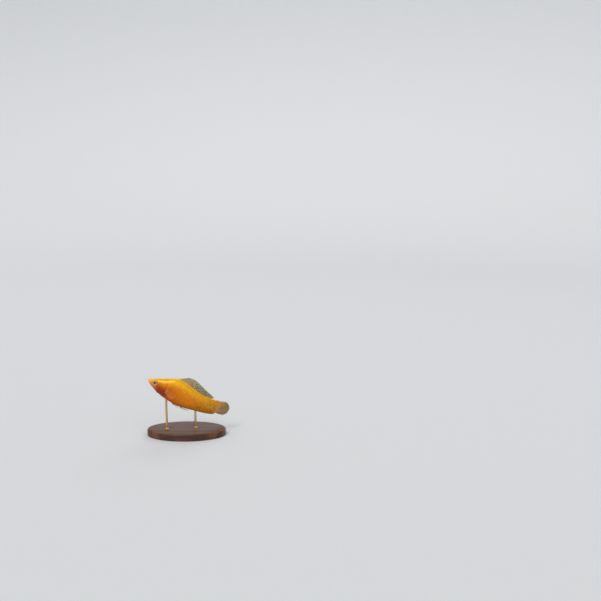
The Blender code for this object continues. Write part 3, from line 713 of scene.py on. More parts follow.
def scaleMaterial():
    material, wire, shader = newMaterial("golden scales", {
        "Metallic": 0.22, "Coat Weight": 0.12, "Coat Roughness": 0.2, "Specular IOR Level": 0.2})
    along, share, chance = wire.own("fish")
    ahead, aside, ownChance = wire.own("scale")
    place = wire.objectPlace()
    colour = fleshAndHighlightColour(wire, place, along, share, chance)
    # the free edge is a touch darker, and scales near the tail carry a pale spot
    rim = (ahead * ahead + aside * aside * 0.55).step(0.72, 1.05) * ahead.step(0.1, 0.5)
    colour = (rim * 0.24).mix(colour, flesh["scaleRim"])
    away = (ahead - 0.42) ** 2.0 + (aside * 0.7) ** 2.0
    spot = away.step(0.14, 0.03) * ownChance.step(0.42, 0.6)
    zone = along.step(50.0, 62.0) * share.step(0.1, 0.3) * share.step(0.95, 0.75)
    feed(shader, "Base Color", (spot * zone * 0.7).mix(colour, flesh["tailSpot"]))
    feed(shader, "Roughness", ownChance * 0.12 + rim * 0.1 + 0.26)
    growthRings = (away ** 0.5 * 60.0).sine() * 0.05
    bump(shader, growthRings + place.noise(1800.0), 0.3, 0.00003)
    return material


def scaleGrid():
    # one scale's points: the place fore and aft, and the share of the half width across
    sideways = np.sin(np.linspace(-1.0, 1.0, scale["columns"]) * math.pi / 2)
    share, across = np.meshgrid(np.array(scale["shares"]), sideways, indexing="ij")
    rear = scale["back"] - scale["half"] * (1.0 - np.sqrt(np.clip(1.0 - across ** 2, 0.0, 1.0)))
    ahead = blend(scale["front"] + 0.35 * across ** 2, rear, share)
    return ahead.ravel(), (across * blend(0.8, 1.0, ease(share * 2.0))).ravel()


def scaleFaces():
    # the upper face, the lower face and the rim between them
    tall, wide = len(scale["shares"]), scale["columns"]
    count = tall * wide
    faces = []
    for i in range(tall - 1):
        for j in range(wide - 1):
            a = i * wide + j
            faces.append((a, a + 1, a + wide + 1, a + wide))
            faces.append((count + a, count + a + wide, count + a + wide + 1, count + a + 1))
    rim = list(range(wide))
    rim += [i * wide + wide - 1 for i in range(1, tall)]
    rim += [(tall - 1) * wide + j for j in range(wide - 2, -1, -1)]
    rim += [i * wide for i in range(tall - 2, 0, -1)]
    for a, b in zip(rim, rim[1:] + rim[:1]):
        faces.append((a, count + a, count + b, b))
    return np.array(faces)


def scaleRoots():
    # along, height over the flank's widest line, size, 1 on the head, and 0 on a flank,
    # 1 astride the back or 2 astride the belly
    roots = []
    for row in range(-14, 15):
        for column in range(-1, 31):
            along = scale["start"] + (column + 0.5 * (row % 2)) * scale["step"]
            roots.append((along, row * scale["row"], 1.0, 0.0, 0.0))
    small = scale["headSize"]
    for row in range(-16, 17):
        for column in range(14):
            along = scale["headStart"] + (column + 0.5 * (row % 2)) * scale["step"] * small
            roots.append((along, row * scale["row"] * small, small, 1.0, 0.0))
    for kind, spans in ((1.0, scale["backSpans"]), (2.0, scale["bellySpans"])):
        for first, last in spans:
            for along in np.arange(first, last, scale["step"] * scale["midStep"]):
                roots.append((along, 0.0, 1.0, 0.0, kind))
    return np.array(roots)


def keptRoots(roots):
    # which scales have their place on the fish, and how far round it their roots lie
    along, high, size, onHead, astride = roots.T
    middle, half = girthAt(along)
    share = (middle - high) / half
    spare = scale["spare"] * scale["row"] / half
    inside = (share > spare) & (share < 1.0 - spare)
    angle = angleOf(along, share)
    edge, front, degrees = gillLines(angle)
    edge = np.where(degrees < 30.0, scale["backEdge"], edge)
    edge = np.where(degrees > 150.0, scale["throat"], edge)
    tailEnd = scale["tail"] - scale["tailRound"] * np.abs(2.0 * share - 1.0)
    body = (onHead < 0.5) & (along > edge + 0.1) & (along < tailEnd)
    nape = (onHead < 0.5) & (share < scale["napeShare"])
    nape = nape & (along > scale["start"] + scale["napeStart"]) & (along < edge + scale["napeEnd"])
    fromEye = np.linalg.norm(bodyPoint(along, angle) - eyeFrame(1.0)[0], axis=-1)
    brow = np.where(share < scale["browShare"], scale["brow"], scale["cheekStart"])
    rear = np.where(share < scale["napeShare"], scale["napeHeadEnd"], edge - scale["cheekEnd"])
    cheek = (onHead > 0.5) & (along < rear) & (along > brow)
    cheek = cheek & (fromEye > scale["eyeRoom"]) & (share < scale["cheekLow"])
    kept = inside & (body | nape | cheek) | (astride > 0.5)
    return kept, np.where(astride > 0.5, astride - 1.0, share)


def scalePlaces(roots, draw):
    # where each scale's points lie along and round the fish, each scale turned and nudged a little
    ahead, across = scaleGrid()
    count = len(roots)
    size = roots[:, 2] * draw.uniform(0.96, 1.04, count)
    turn = draw.normal(0.0, 0.035, count)[:, None]
    nudge = draw.normal(0.0, 0.05, (count, 2)) * roots[:, 2:3]
    ahead = ahead * size[:, None]
    across = across * scale["half"] * size[:, None]
    along = roots[:, :1] + nudge[:, :1] + ahead * np.cos(turn) - across * np.sin(turn)
    high = roots[:, 1:2] + nudge[:, 1:] + ahead * np.sin(turn) + across * np.cos(turn)
    middle, half = girthAt(along)
    astride = roots[:, 4:5]
    return along, np.where(astride > 0.5, astride - 1.0 - high / half, (middle - high) / half)


def scaleLift(roots, share, draw):
    # each scale rises from its root, which is buried, to its free edge
    ahead, across = scaleGrid()
    out = np.clip((ahead - scale["front"]) / (scale["back"] - scale["front"]), 0.0, 1.0)
    rise = scale["rise"] * roots[:, 2] * draw.uniform(0.88, 1.12, len(roots))
    pastBrow = ease((roots[:, 0] - scale["brow"]) / 3.0)
    rise = rise * blend(scale["browRise"], 1.0, pastBrow)
    rise = rise * blend(1.0, scale["bellyRise"], ease((share - 0.75) / 0.2))
    buried = blend(scale["browBuried"], scale["buried"], pastBrow)[:, None]
    lift = rise[:, None] * out - buried * (1.0 - out) ** 2 * roots[:, 2:3]
    lift = lift + scale["dome"] * (1.0 - across ** 2) * ease(out * 2.0) * roots[:, 2:3]
    return lift + scale["midRise"] * (roots[:, 4:5] > 0.5) * out


def makeScales(name, side, material):
    draw = np.random.default_rng(scale["seed"] + int(side))
    roots = scaleRoots()
    kept, share = keptRoots(roots)
    if side > 0.0:
        kept = kept & (roots[:, 4] < 0.5)  # the left piece carries the scales astride the midline
    roots, share = roots[kept], share[kept]
    count = len(roots)
    along, around = scalePlaces(roots, draw)
    angle = angleOf(along, around)
    plain = bodyPoint(along, angle)
    onHead = roots[:, 3:4] > 0.5
    under = np.where(onHead, skinLift(along, angle, plain), skinLift(along, angle, plain, False))
    upper = under - skin["depth"] + scaleLift(roots, share, draw)
    lower = upper - scale["thick"] * roots[:, 2:3]
    points = np.stack((onBody(along, angle, upper), onBody(along, angle, lower)), 1)
    points = eyeSocket(points * np.array((1.0, side, 1.0)), side)
    each = points.shape[1] * points.shape[2]
    faces = (scaleFaces()[None] + np.arange(count)[:, None, None] * each).reshape(-1, 4)
    mesh = bpy.data.meshes.new(name)
    mesh.from_pydata(posed(points).reshape(-1, 3), [], faces.tolist())
    made = bpy.data.objects.new(name, mesh)
    bpy.context.scene.collection.objects.link(made)
    ahead, across = scaleGrid()
    chance = np.broadcast_to(draw.uniform(0.0, 1.0, count)[:, None], along.shape)
    onFish = np.stack((along, np.clip(np.abs(around), 0.0, 1.0), chance), -1)
    own = np.stack(np.broadcast_arrays(ahead / scale["unit"], across, chance), -1)
    setAttribute(made, "fish", np.stack((onFish, onFish), 1).reshape(-1, 3))
    setAttribute(made, "scale", np.stack((own, own), 1).reshape(-1, 3))
    # each scale is a small patch at its root's place on the skin's unwrap
    middle = np.stack((0.5 + 0.5 * side * share, roots[:, 0] / (fish["skinEnd"] + 1.0)), -1)
    patch = 0.5 * scale["patch"] * np.stack((across, ahead / scale["unit"]), -1)
    flat = middle[:, None, None, :] + np.stack((patch, patch * 0.9), 0)[None]
    layer = mesh.uv_layers.new(name="OFBake")
    layer.data.foreach_set("uv", flat.reshape(-1, 2)[cornerOwners(mesh)].ravel())
    dress(made, material, "skin_body")
    bpy.ops.object.shade_smooth_by_angle(angle=math.radians(scale["sharp"]))
    print(name, count)


scaleFinish = scaleMaterial()
for side, word in sides:
    makeScales("scales_" + word, side, scaleFinish)
print("scales done")


# the fins: a grid set on each fin's own surface, thickened by a weight where its rays run

finShared = {
    "fork": 0.34, "forkAgain": 0.66, "spread": 0.19, "spreadAgain": 0.085,
    "rayWide": (0.17, 0.075), "rayThin": 0.45,  # width at root and tip, and height at the tip
    "rayRound": 0.6,
    "jointDeep": 0.3, "jointFrom": 0.25, "rootEnd": 0.3,
    "turned": 0.35,  # a paired fin's ray has turned along its way by here
    "levels": 60.0,  # steps of thickness
}


def fromRay(u, count, v):
    # distance from the nearest ray, in ray spaces; each ray forks once and then again
    off = u * count % 1.0 - 0.5
    once = ease((v - finShared["fork"]) / (1.0 - finShared["fork"]))
    twice = ease((v - finShared["forkAgain"]) / (1.0 - finShared["forkAgain"]))
    off = np.abs(off) - finShared["spread"] * once
    return np.abs(np.abs(off) - finShared["spreadAgain"] * twice)


def makeFin(name, fin, surface, material, slot, node):
    columns = fin["rays"] * fin["columns"]
    bpy.ops.mesh.primitive_grid_add(x_subdivisions=columns, y_subdivisions=fin["rows"], size=1.0)
    made = named(name)
    grid = places(made)
    u = grid[:, 0] + 0.5  # from the first ray to the last
    v = blend(-fin["sunk"], 1.0, grid[:, 1] + 0.5)  # from inside the body to the margin
    out = np.clip(v, 0.0, 1.0)
    # joints across each ray, closer together towards its tip
    joints = 0.5 + 0.5 * np.cos(2.0 * math.pi * fin["joints"] * out ** 1.25)
    joints = (joints > 0.93) * ease((v - finShared["jointFrom"]) / 0.1)
    far = fromRay(u, fin["rays"], v) / blend(*finShared["rayWide"], out)
    ray = np.clip(1.0 - far ** 2, 0.0, 1.0) ** finShared["rayRound"]
    ray = ray * (1.0 - finShared["jointDeep"] * joints)
    thick = fin["membrane"] + fin["ray"] * blend(1.0, finShared["rayThin"], out) * ray
    thick = thick + fin["root"] * (1.0 - ease(v / finShared["rootEnd"]))
    # the margin draws in a little between the rays
    between = 1.0 - np.cos(2.0 * math.pi * (u * fin["rays"] - 0.5))
    points = surface(u, v * (1.0 - fin["scallop"] * between * ease((v - 0.7) / 0.3)))
    points[:, 1] += fin["pleat"] * np.sin(2.0 * math.pi * u * fin["rays"]) * ease(v * 1.5)
    setPlaces(made, posed(points))
    setAttribute(made, "fin", np.stack((u, v, ray), -1))
    most = float(thick.max())
    levels = np.rint(thick / most * finShared["levels"]).astype(int)
    group = made.vertex_groups.new(name="thickness")
    for level in np.unique(levels):
        weight = level / finShared["levels"]
        group.add(np.flatnonzero(levels == level).tolist(), weight, "REPLACE")
    solid = made.modifiers.new("thickness", "SOLIDIFY")
    solid.thickness = most * 0.001
    solid.offset = 0.0
    solid.use_even_offset = False
    solid.vertex_group = "thickness"
    bpy.ops.object.modifier_apply(modifier=solid.name)
    made.vertex_groups.clear()
    dress(made, material, slot, node)
    print(name, len(made.data.polygons), "faces")


def cellSpots(wire, place, across, out, size):
    # a spot in each cell of membrane between two rays, and a chance for each cell
    across = across + (place.noise(700.0) - 0.5) * 0.7
    out = out + (place.noise(900.0) - 0.5) * 1.1
    first, second = across.floor(), out.floor()
    x, y = across - first - 0.5, out - second - 0.5
    cell = wire.node("CombineXYZ", None, {0: first, 1: second, 2: 0.5})
    chance = wire.node("TexWhiteNoise", {"noise_dimensions": "3D"}, {"Vector": cell}, "Value")
    return (x * x + y * y).step(size, size * 0.3), chance


finGloss = {"Roughness": 0.4, "Coat Weight": 0.15, "Coat Roughness": 0.2}


# the sail, half folded

sail = {
    "rays": 15, "columns": 12, "rows": 64, "sunk": 0.12, "joints": 13,
    "ray": 0.22, "membrane": 0.12, "root": 0.5, "scallop": 0.012, "pleat": 0.14,
    "start": 25.8, "end": 61.5, "lean": (math.radians(31.0), math.radians(18.0)), "wave": 0.9,
    "lengths": ((0.0, 8.6), (0.12, 10.8), (0.4, 10.4), (0.7, 8.0), (0.88, 5.2), (1.0, 3.0)),
    # colours from root to margin, then what is laid over them
    "run": ((0.0, rgb(240, 168, 36)), (0.12, rgb(204, 128, 38)), (0.34, rgb(140, 118, 58)),
            (0.7, rgb(112, 122, 80)), (1.0, rgb(150, 160, 126))),
    "frontColour": rgb(182, 146, 98), "rearColour": rgb(216, 134, 40), "green": rgb(88, 112, 70),
    "pale": rgb(206, 220, 184), "dark": rgb(48, 46, 26), "rayColour": rgb(172, 148, 88),
}


def sailSurface(u, v):
    along = blend(sail["start"], sail["end"], u)
    lean = blend(*sail["lean"], u)
    out = curve(sail["lengths"], u) * v
    wave = sail["wave"] * v * np.sin(2.0 * math.pi * (1.2 * u + 0.15 * v))
    root = upAt(along, 0.0) + fish["gap"]
    return np.stack((along + out * np.cos(lean), wave, root + out * np.sin(lean)), -1)


def sailMaterial():
    material, wire, shader = newMaterial("sail membrane", finGloss)
    u, v, ray = wire.own("fin")
    place = wire.objectPlace()
    front = u.step(0.36, 0.1)
    colour = (front * 0.75).mix(v.ramp(sail["run"]), sail["frontColour"])
    rear = u.step(0.4, 0.95) * v.step(0.9, 0.3)
    colour = (rear * 0.75).mix(colour, sail["rearColour"])
    green = place.noise(240.0, 3.0).step(0.46, 0.6) * v.step(0.12, 0.34) * (1 - front)
    colour = (green * 0.6).mix(colour, sail["green"])
    pale = place.noise(640.0).step(0.55, 0.64) * v.step(0.08, 0.3) * (1 - front * 0.6)
    colour = (pale * 0.8).mix(colour, sail["pale"])
    spot, chance = cellSpots(wire, place, u * sail["rays"] + 0.5, v * 10.0, 0.15)
    dark = spot * chance.step(0.3, 0.5) * v.step(0.06, 0.2) * v.step(0.98, 0.8)
    colour = (dark * (0.75 - front * 0.4)).mix(colour, sail["dark"])
    feed(shader, "Base Color", (ray * 0.45).mix(colour, sail["rayColour"]))
    alpha = 0.74 + ray * 0.22 + v.step(0.3, 0.0) * 0.24 + pale * 0.1 - v.step(0.82, 1.0) * 0.34
    feed(shader, "Alpha", alpha.atMost(1.0))
    bump(shader, place.noise(1600.0, 3.0), 0.3, 0.00004)
    return material


makeFin("sail", sail, sailSurface, sailMaterial(), "fin_spotted", "dorsal_fin")


# the tail fin

tail = {
    "rays": 18, "columns": 11, "rows": 60, "sunk": 0.07, "joints": 16,
    "ray": 0.24, "membrane": 0.11, "root": 0.5, "scallop": 0.012, "pleat": 0.05,
    "lengths": ((0.0, 10.4), (0.14, 14.8), (0.5, 18.6), (0.82, 18.2), (1.0, 15.0)),
    "turn": math.radians(-1.0), "notch": 1.3, "notchAt": 0.2, "inset": 0.2, "wave": 0.5,
    "run": ((0.0, rgb(206, 134, 16)), (0.2, rgb(212, 144, 20)), (0.45, rgb(186, 126, 24)),
            (0.75, rgb(134, 106, 28)), (0.92, rgb(104, 106, 54)), (1.0, rgb(136, 142, 92))),
    "brown": rgb(104, 68, 14), "green": rgb(114, 124, 56), "pale": rgb(244, 206, 120),
    # the pale colour for the top edge is a painted highlight
    "topHighlight": rgb(232, 216, 160), "rayColour": rgb(206, 148, 50),
}


def tailSurface(u, v):
    top, bottom = upAt(fish["length"], 0.0), upAt(fish["length"], math.pi)
    turn = blend(tail["turn"], 0.0, u)
    out = curve(tail["lengths"], u) * v
    wave = tail["wave"] * v * np.sin(2.0 * math.pi * (0.8 * u + 0.3))
    share = np.maximum(v, 0.0) / tail["notchAt"]
    root = blend(top - tail["inset"], bottom + tail["inset"], u)
    root = root + tail["notch"] * u ** 3 * share * np.exp(1.0 - share)
    start = fish["length"] + fish["gap"]
    return np.stack((start + out * np.cos(turn), wave, root + out * np.sin(turn)), -1)


def tailMaterial():
    material, wire, shader = newMaterial("tail membrane", finGloss)
    u, v, ray = wire.own("fin")
    place = wire.objectPlace()
    brown = place.noise(330.0, 3.0).step(0.47, 0.62) * v.step(0.15, 0.4) * v.step(1.0, 0.85)
    colour = (brown * 0.7).mix(v.ramp(tail["run"]), tail["brown"])
    green = place.noise(210.0).step(0.52, 0.66) * v.step(0.3, 0.6)
    colour = (green * 0.45).mix(colour, tail["green"])
    spot, chance = cellSpots(wire, place, u * tail["rays"] + 0.5, v * 11.0, 0.13)
    pale = spot * chance.step(0.52, 0.66) * v.step(0.05, 0.2) * v.step(0.97, 0.8)
    colour = (pale * 0.75).mix(colour, tail["pale"])
    # a painted highlight along the fin's top edge
    colour = (u.step(0.12, 0.02) * 0.7).mix(colour, tail["topHighlight"])
    feed(shader, "Base Color", (ray * 0.4).mix(colour, tail["rayColour"]))
    alpha = 0.8 + ray * 0.18 + v.step(0.35, 0.05) * 0.2 - v.step(0.88, 1.0) * 0.28
    feed(shader, "Alpha", alpha.atMost(1.0))
    bump(shader, place.noise(1600.0, 3.0), 0.3, 0.00004)
    return material


makeFin("tail", tail, tailSurface, tailMaterial(), "fin_spotted", "tail_fin")


# the paired fins and the gonopodium are one colour from root to margin

def plainFin(name, fin):
    material, wire, shader = newMaterial(name, {"Roughness": 0.36, "Coat Weight": 0.25,
                                                "Coat Roughness": 0.2})
    u, v, ray = wire.own("fin")
    place = wire.objectPlace()
    colour = v.step(0.0, 0.8).mix(fin["rootColour"], fin["colour"])
    colour = (place.noise(500.0).step(0.45, 0.7) * 0.25).mix(colour, fin["rayColour"])
    feed(shader, "Base Color", (ray * 0.7).mix(colour, fin["rayColour"]))
    alpha = fin["alpha"] + ray * 0.4 + v.step(0.3, 0.0) * 0.5 - v.step(0.8, 1.0) * 0.15
    feed(shader, "Alpha", alpha.atMost(1.0))
    return material


def lagging(v):
    out = np.maximum(v, 0.0)
    return 1.12 * out * out / (out + 0.12)


def sweptBack(fin, side, along, angle, way, length, v):
    # a ray leaves the skin squarely and turns to lie along its way; inside the skin it runs on
    part = v / finShared["turned"]
    turned = np.where(v > 0.0, 1.0 - (1.0 - np.clip(part, 0.0, 1.0)) ** 2, 2.0 * part)
    off = bodyNormal(along, angle) * (fin["standOff"] * turned)[..., None]
    points = onBody(along, angle, fish["gap"]) + off + way * (length * lagging(v))[..., None]
    return points * np.array((1.0, side, 1.0))


pectoral = {
    "rays": 13, "columns": 8, "rows": 44, "sunk": 0.14, "joints": 12,
    "ray": 0.16, "membrane": 0.09, "root": 0.35, "scallop": 0.01, "pleat": 0.03,
    "length": 10.5, "longest": 0.25, "loss": 0.63, "spread": 0.2, "standOff": 0.9,
    "droop": (math.radians(-8.0), math.radians(-30.0)),
    "rootColour": rgb(220, 110, 24), "colour": rgb(212, 122, 36), "rayColour": rgb(224, 136, 46),
    "alpha": 0.3,
}


def pectoralSurface(side):
    def surface(u, v):
        along = blend(arm["top"][0], arm["bottom"][0], u)
        angle = angleAt(along, blend(arm["top"][1], arm["bottom"][1], u))
        droop = blend(*pectoral["droop"], u)
        spread = np.full(len(u), pectoral["spread"])
        way = unit(np.stack((np.cos(droop), spread, np.sin(droop)), -1))
        loss = pectoral["loss"] * np.abs(u - pectoral["longest"]) ** 1.4
        length = pectoral["length"] * (1.0 - loss)
        return sweptBack(pectoral, side, along, angle, way, length, v)
    return surface


pectoralFinish = plainFin("pectoral membrane", pectoral)
for side, word in sides:
    makeFin("pectoral_" + word, pectoral, pectoralSurface(side), pectoralFinish, "fin_clear",
            "pectoral_fin_" + word)

pelvic = {
    "rays": 6, "columns": 10, "rows": 40, "sunk": 0.16, "joints": 9,
    "ray": 0.18, "membrane": 0.1, "root": 0.3, "scallop": 0.02, "pleat": 0.0,
    "length": 8.0, "shortest": 0.72, "pointed": 0.5,
    "along": 28.9, "backward": 1.2, "standOff": 0.55,
    "fromKeel": (math.radians(19.0), math.radians(5.5)),
    "droop": (math.radians(-6.0), math.radians(-3.0)), "spread": (0.12, 0.02),
    "rootColour": rgb(216, 176, 128), "colour": rgb(214, 228, 236), "rayColour": rgb(240, 242, 240),
    "alpha": 0.66,
}


def pelvicSurface(side):
    def surface(u, v):
        along = pelvic["along"] + pelvic["backward"] * u
        angle = math.pi - blend(*pelvic["fromKeel"], u)
        droop = blend(*pelvic["droop"], u)
        spread = blend(*pelvic["spread"], u)
        way = unit(np.stack((np.cos(droop), spread, np.sin(droop)), -1))
        length = pelvic["length"] * blend(1.0, pelvic["shortest"], u)
        length = length * (1.0 - pelvic["pointed"] * np.abs(u - 0.28) ** 1.6)
        return sweptBack(pelvic, side, along, angle, way, length, v)
    return surface


pelvicFinish = plainFin("pelvic membrane", pelvic)
for side, word in sides:
    makeFin("pelvic_" + word, pelvic, pelvicSurface(side), pelvicFinish, "fin_pale",
            "pelvic_fin_" + word)

rod = {  # the gonopodium, the male's narrow anal fin
    "rays": 4, "columns": 12, "rows": 60, "sunk": 0.14, "joints": 20,
    "ray": 0.26, "membrane": 0.34, "root": 0.5, "scallop": 0.0, "pleat": 0.0,
    "length": 9.0, "shortest": 0.82, "along": 36.2, "breadth": 2.0,
    "drops": (1.75, 0.5), "rises": (1.15, 0.55),
}


def rodSurface(u, v):
    along = rod["along"] + rod["breadth"] * u
    drop = blend(*rod["drops"], u) * (1.0 - (1.0 - v) ** 3)
    drop = drop - blend(*rod["rises"], u) * np.maximum(v, 0.0)
    out = rod["length"] * blend(1.0, rod["shortest"], u) * lagging(v)
    return np.stack((along + out, np.zeros(len(u)), upAt(along, math.pi) - fish["gap"] - drop), -1)


makeFin("gonopodium_rays", rod, rodSurface, pelvicFinish, "fin_pale", "gonopodium")
print("fins done")


# the eyes: a flattened ball with the lens standing a little out of the pupil

eyeColours = {
    "streaks": ((0.3, rgb(140, 84, 40)), (0.5, rgb(206, 154, 92)), (0.7, rgb(238, 200, 140))),
    "top": rgb(150, 84, 28), "ring": rgb(240, 190, 90), "rim": rgb(84, 36, 14),
    "pupil": rgb(30, 5, 5),
}


def eyeMaterial():
    material, wire, shader = newMaterial("eye", {
        "Roughness": 0.12, "Specular IOR Level": 0.15, "Coat Weight": 1.0, "Coat Roughness": 0.02,
        "Coat IOR": 1.36})
    ahead, up, out = wire.own("eye")
    x, y = ahead - eye["lookAhead"], up - eye["lookUp"]
    far = (x * x + y * y) ** 0.5
    whole = (ahead * ahead + up * up) ** 0.5
    turn = wire.maths("ARCTAN2", y, x)
    spokes = wire.node("CombineXYZ", None, {0: turn * 7.0, 1: far * 1.2, 2: 0.0})
    iris = spokes.noise(2.6, 3.0).ramp(eyeColours["streaks"])
    iris = (up.step(0.2, 1.6) * 0.6).mix(iris, eyeColours["top"])
    colour = far.step(eye["pupil"] + 0.14, eye["pupil"] + 0.02).mix(iris, eyeColours["ring"])
    colour = whole.step(1.6, 2.05).mix(colour, eyeColours["rim"])
    colour = far.step(eye["pupil"] + 0.03, eye["pupil"] - 0.05).mix(colour, eyeColours["pupil"])
    feed(shader, "Base Color", colour)
    return material


def makeEye(name, side, material, node):
    bpy.ops.mesh.primitive_uv_sphere_add(segments=72, ring_count=48, radius=1.0)
    made = named(name)
    middle, out = eyeFrame(side)
    forward = np.array((-1.0, 0.0, 0.0))
    forward = unit(forward - out * (forward @ out))
    upward = np.cross(out, forward) * side
    local = places(made) * np.array((eye["radius"], eye["radius"], eye["deep"]))
    far = np.hypot(local[:, 0] - eye["lookAhead"], local[:, 1] - eye["lookUp"])
    local[:, 2] += np.where(local[:, 2] > 0.0, eye["lens"] * (1.0 - ease(far / eye["pupil"])), 0.0)
    setAttribute(made, "eye", local)
    setPlaces(made, posed(middle - out * eye["sink"] + local @ np.stack((forward, upward, out))))
    dress(made, material, "eye", node)


eyeFinish = eyeMaterial()
for side, word in sides:
    makeEye("eyeball_" + word, side, eyeFinish, "eye_" + word)
print("eyes done")


# the stand: an oval wooden base and two rods of brass with turned feet

stand = {
    "long": 72.0, "wide": 42.0, "thick": 6.0, "topRound": 1.2, "footRound": 0.3,
    "rods": (("rod_front", 22.5), ("rod_rear", 51.5)),  # where along the belly each one stands
    # height over the wood and radius, up a rod's foot
    "foot": ((-1.0, 1.9), (0.45, 1.9), (0.65, 1.84), (0.75, 1.7), (0.8, 1.4), (1.0, 1.25),
             (1.4, 1.08), (2.0, 1.0)),
    "reach": 0.8,  # how far a rod goes into the flesh
    "sides": 180, "rodSides": 40, "sharp": 35.0,
    "wood": (rgb(70, 40, 24), rgb(112, 68, 40)), "pore": rgb(40, 22, 14),
    "brass": (rgb(186, 150, 92), rgb(222, 190, 128)),
}


def woodMaterial():
    material, wire, shader = newMaterial("dark stained wood", {
        "Coat Weight": 0.1, "Coat Roughness": 0.3, "Specular IOR Level": 0.3})
    place = wire.objectPlace()
    turned = place.stretched((60.0, 420.0, 420.0), (0.06, 0.03, 0.12))
    across = turned.parts()[1]
    bands = ((across * 1.5 + turned.noise(0.6, 4.0) * 9.0).sine() * 0.5 + 0.5) ** 1.6
    pores = place.stretched((160.0, 2600.0, 2600.0)).noise(1.0).step(0.58, 0.7)
    colour = bands.mix(*stand["wood"])
    feed(shader, "Base Color", (pores * 0.55).mix(colour, stand["pore"]))
    feed(shader, "Roughness", bands * 0.08 + pores * 0.2 + 0.34)
    bump(shader, bands * 0.3 - pores, 0.3, 0.00008)
    return material


def brassMaterial():
    material, wire, shader = newMaterial("brushed brass", {"Metallic": 1.0})
    brushed = wire.objectPlace().stretched((300.0, 300.0, 9000.0)).noise(1.0, 3.0)
    feed(shader, "Base Color", brushed.mix(*stand["brass"]))
    feed(shader, "Roughness", brushed * 0.22 + 0.2)
    bump(shader, brushed, 0.2, 0.00002)
    return material


def selectLevel(obj, height):
    # the edges that lie at this height
    bpy.ops.object.mode_set(mode="EDIT")
    bpy.ops.mesh.select_mode(type="EDGE")
    bpy.ops.mesh.select_all(action="DESELECT")
    bpy.ops.object.mode_set(mode="OBJECT")
    level = np.abs(places(obj)[:, 2] - height) < 1e-6
    for edge in obj.data.edges:
        edge.select = bool(level[edge.vertices[0]] and level[edge.vertices[1]])
    bpy.ops.object.mode_set(mode="EDIT")


def makeBase():
    long, wide, thick = (stand[side] * 0.001 for side in ("long", "wide", "thick"))
    bpy.ops.mesh.primitive_cylinder_add(vertices=stand["sides"], radius=0.5, depth=thick)
    made = named("base")
    bpy.ops.object.mode_set(mode="EDIT")
    bpy.ops.transform.resize(value=(long, wide, 1.0), center_override=(0.0, 0.0, 0.0))
    bpy.ops.transform.translate(value=(0.0, 0.0, thick / 2))
    for height, width in ((thick, stand["topRound"]), (0.0, stand["footRound"])):
        selectLevel(made, height)
        bpy.ops.mesh.bevel(offset=width * 0.001, segments=6, profile=0.5)
    bpy.ops.object.mode_set(mode="OBJECT")
    dress(made, woodMaterial(), "stand_wood", "stand_base")
    bpy.ops.object.shade_smooth_by_angle(angle=math.radians(stand["sharp"]))


def turned(name, profile, centre, sides):
    # a round piece drawn up a profile of heights and radii, open at the top
    bpy.ops.mesh.primitive_circle_add(vertices=sides, radius=profile[0][1], fill_type="NGON")
    made = named(name)
    bpy.ops.object.mode_set(mode="EDIT")
    bpy.ops.mesh.select_mode(type="EDGE")
    bpy.ops.mesh.select_all(action="SELECT")
    bpy.ops.transform.translate(value=(centre[0], centre[1], profile[0][0]))
    bpy.ops.mesh.region_to_loop()
    for (low, first), (high, last) in zip(profile, profile[1:]):
        bpy.ops.mesh.extrude_edges_move(TRANSFORM_OT_translate={"value": (0.0, 0.0, high - low)})
        grown = last / first
        bpy.ops.transform.resize(value=(grown, grown, 1.0), center_override=(*centre, 0.0))
    return made


def makeRod(name, along, material):
    x, y, top = (float(value) for value in posed(bodyPoint(along, math.pi)))
    profile = [((stand["thick"] + high) * 0.001, wide * 0.001) for high, wide in stand["foot"]]
    profile.append((top + stand["reach"] * 0.001, profile[-1][1]))
    made = turned(name, profile, (x, y), stand["rodSides"])
    bpy.ops.mesh.edge_face_add()
    bpy.ops.object.mode_set(mode="OBJECT")
    dress(made, material, "stand_brass", "stand_" + name)
    bpy.ops.object.shade_smooth_by_angle(angle=math.radians(stand["sharp"]))


makeBase()
brass = brassMaterial()
for name, along in stand["rods"]:
    makeRod(name, along, brass)
print("stand done")


# the floor is a wide pale bowl, so that no edge of it shows

floorBowl = {
    "radius": 1.3, "wall": 0.8, "steps": 12, "sides": 128,
    "colours": (rgb(208, 209, 211), rgb(216, 217, 219)),
}


def floorMaterial():
    material, wire, shader = newMaterial("pale floor", {"Roughness": 0.85})
    grain = wire.objectPlace().noise(900.0)
    feed(shader, "Base Color", grain.mix(*floorBowl["colours"]))
    return material


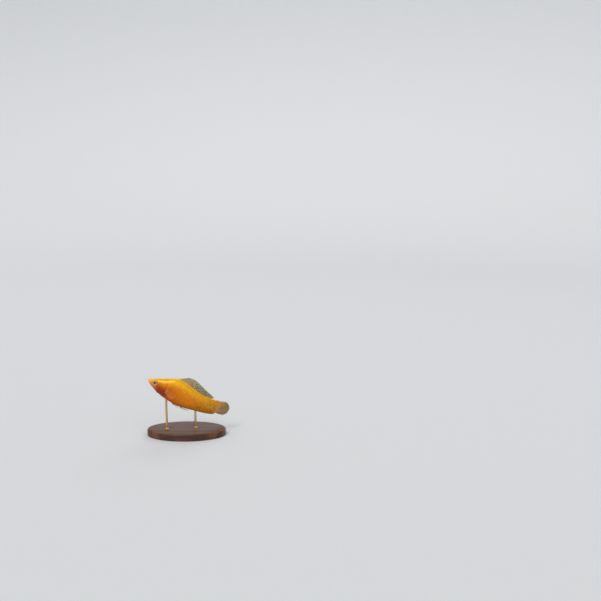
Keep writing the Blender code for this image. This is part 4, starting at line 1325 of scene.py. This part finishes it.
def makeFloor():
    turns = np.linspace(0.0, math.pi / 2, floorBowl["steps"] + 1)
    heights = floorBowl["wall"] * (1.0 - np.cos(turns))
    widths = floorBowl["radius"] + floorBowl["wall"] * np.sin(turns)
    profile = [(float(high), float(wide)) for high, wide in zip(heights, widths)]
    made = turned("floor", profile, (0.0, 0.0), floorBowl["sides"])
    bpy.ops.object.mode_set(mode="OBJECT")
    made.data.shade_smooth()
    made.data.materials.append(floorMaterial())


makeFloor()
print("floor done")


# soft studio light, broad and far off, so that the floor is lit evenly

studio = {
    # name, where it comes from, strength, spread in degrees, colour
    "lights": (
        ("overhead", (-0.35, -0.45, 0.85), 1.45, 34.0, (1.0, 0.985, 0.96)),
        ("fill", (0.45, -0.85, 0.4), 0.8, 60.0, (0.98, 0.99, 1.0)),
        ("back", (0.3, 0.85, 0.6), 0.55, 40.0, (1.0, 1.0, 1.0)),
    ),
    "sky": (0.9, 0.93, 0.96, 1.0), "skyStrength": 0.5,
    # the fish is small, low and left of the middle in a wide view
    "camera": (0.1048, -0.7388, 0.2472), "cameraTilt": math.radians(80.6),
    "lens": 50.0, "sensor": 36.0, "near": 0.005,
}


def softLight(name, fromPlace, strength, spread, colour):
    bpy.ops.object.light_add(type="SUN", location=fromPlace)
    light = bpy.context.object
    light.name = name
    light.data.energy = strength
    light.data.angle = math.radians(spread)
    light.data.color = colour
    light.rotation_euler = (-Vector(fromPlace)).to_track_quat("-Z", "Y").to_euler()


for light in studio["lights"]:
    softLight(*light)
world = bpy.data.worlds.new("studio")
bpy.context.scene.world = world
world.use_nodes = True
sky = world.node_tree.nodes["Background"]
sky.inputs["Color"].default_value = studio["sky"]
sky.inputs["Strength"].default_value = studio["skyStrength"]
bpy.context.scene.view_settings.view_transform = "Standard"

bpy.ops.object.camera_add(location=studio["camera"], rotation=(studio["cameraTilt"], 0.0, 0.0))
camera = bpy.context.object
camera.data.lens = studio["lens"]
camera.data.sensor_width = studio["sensor"]
camera.data.clip_start = studio["near"]
bpy.context.scene.camera = camera
print("light and camera set")
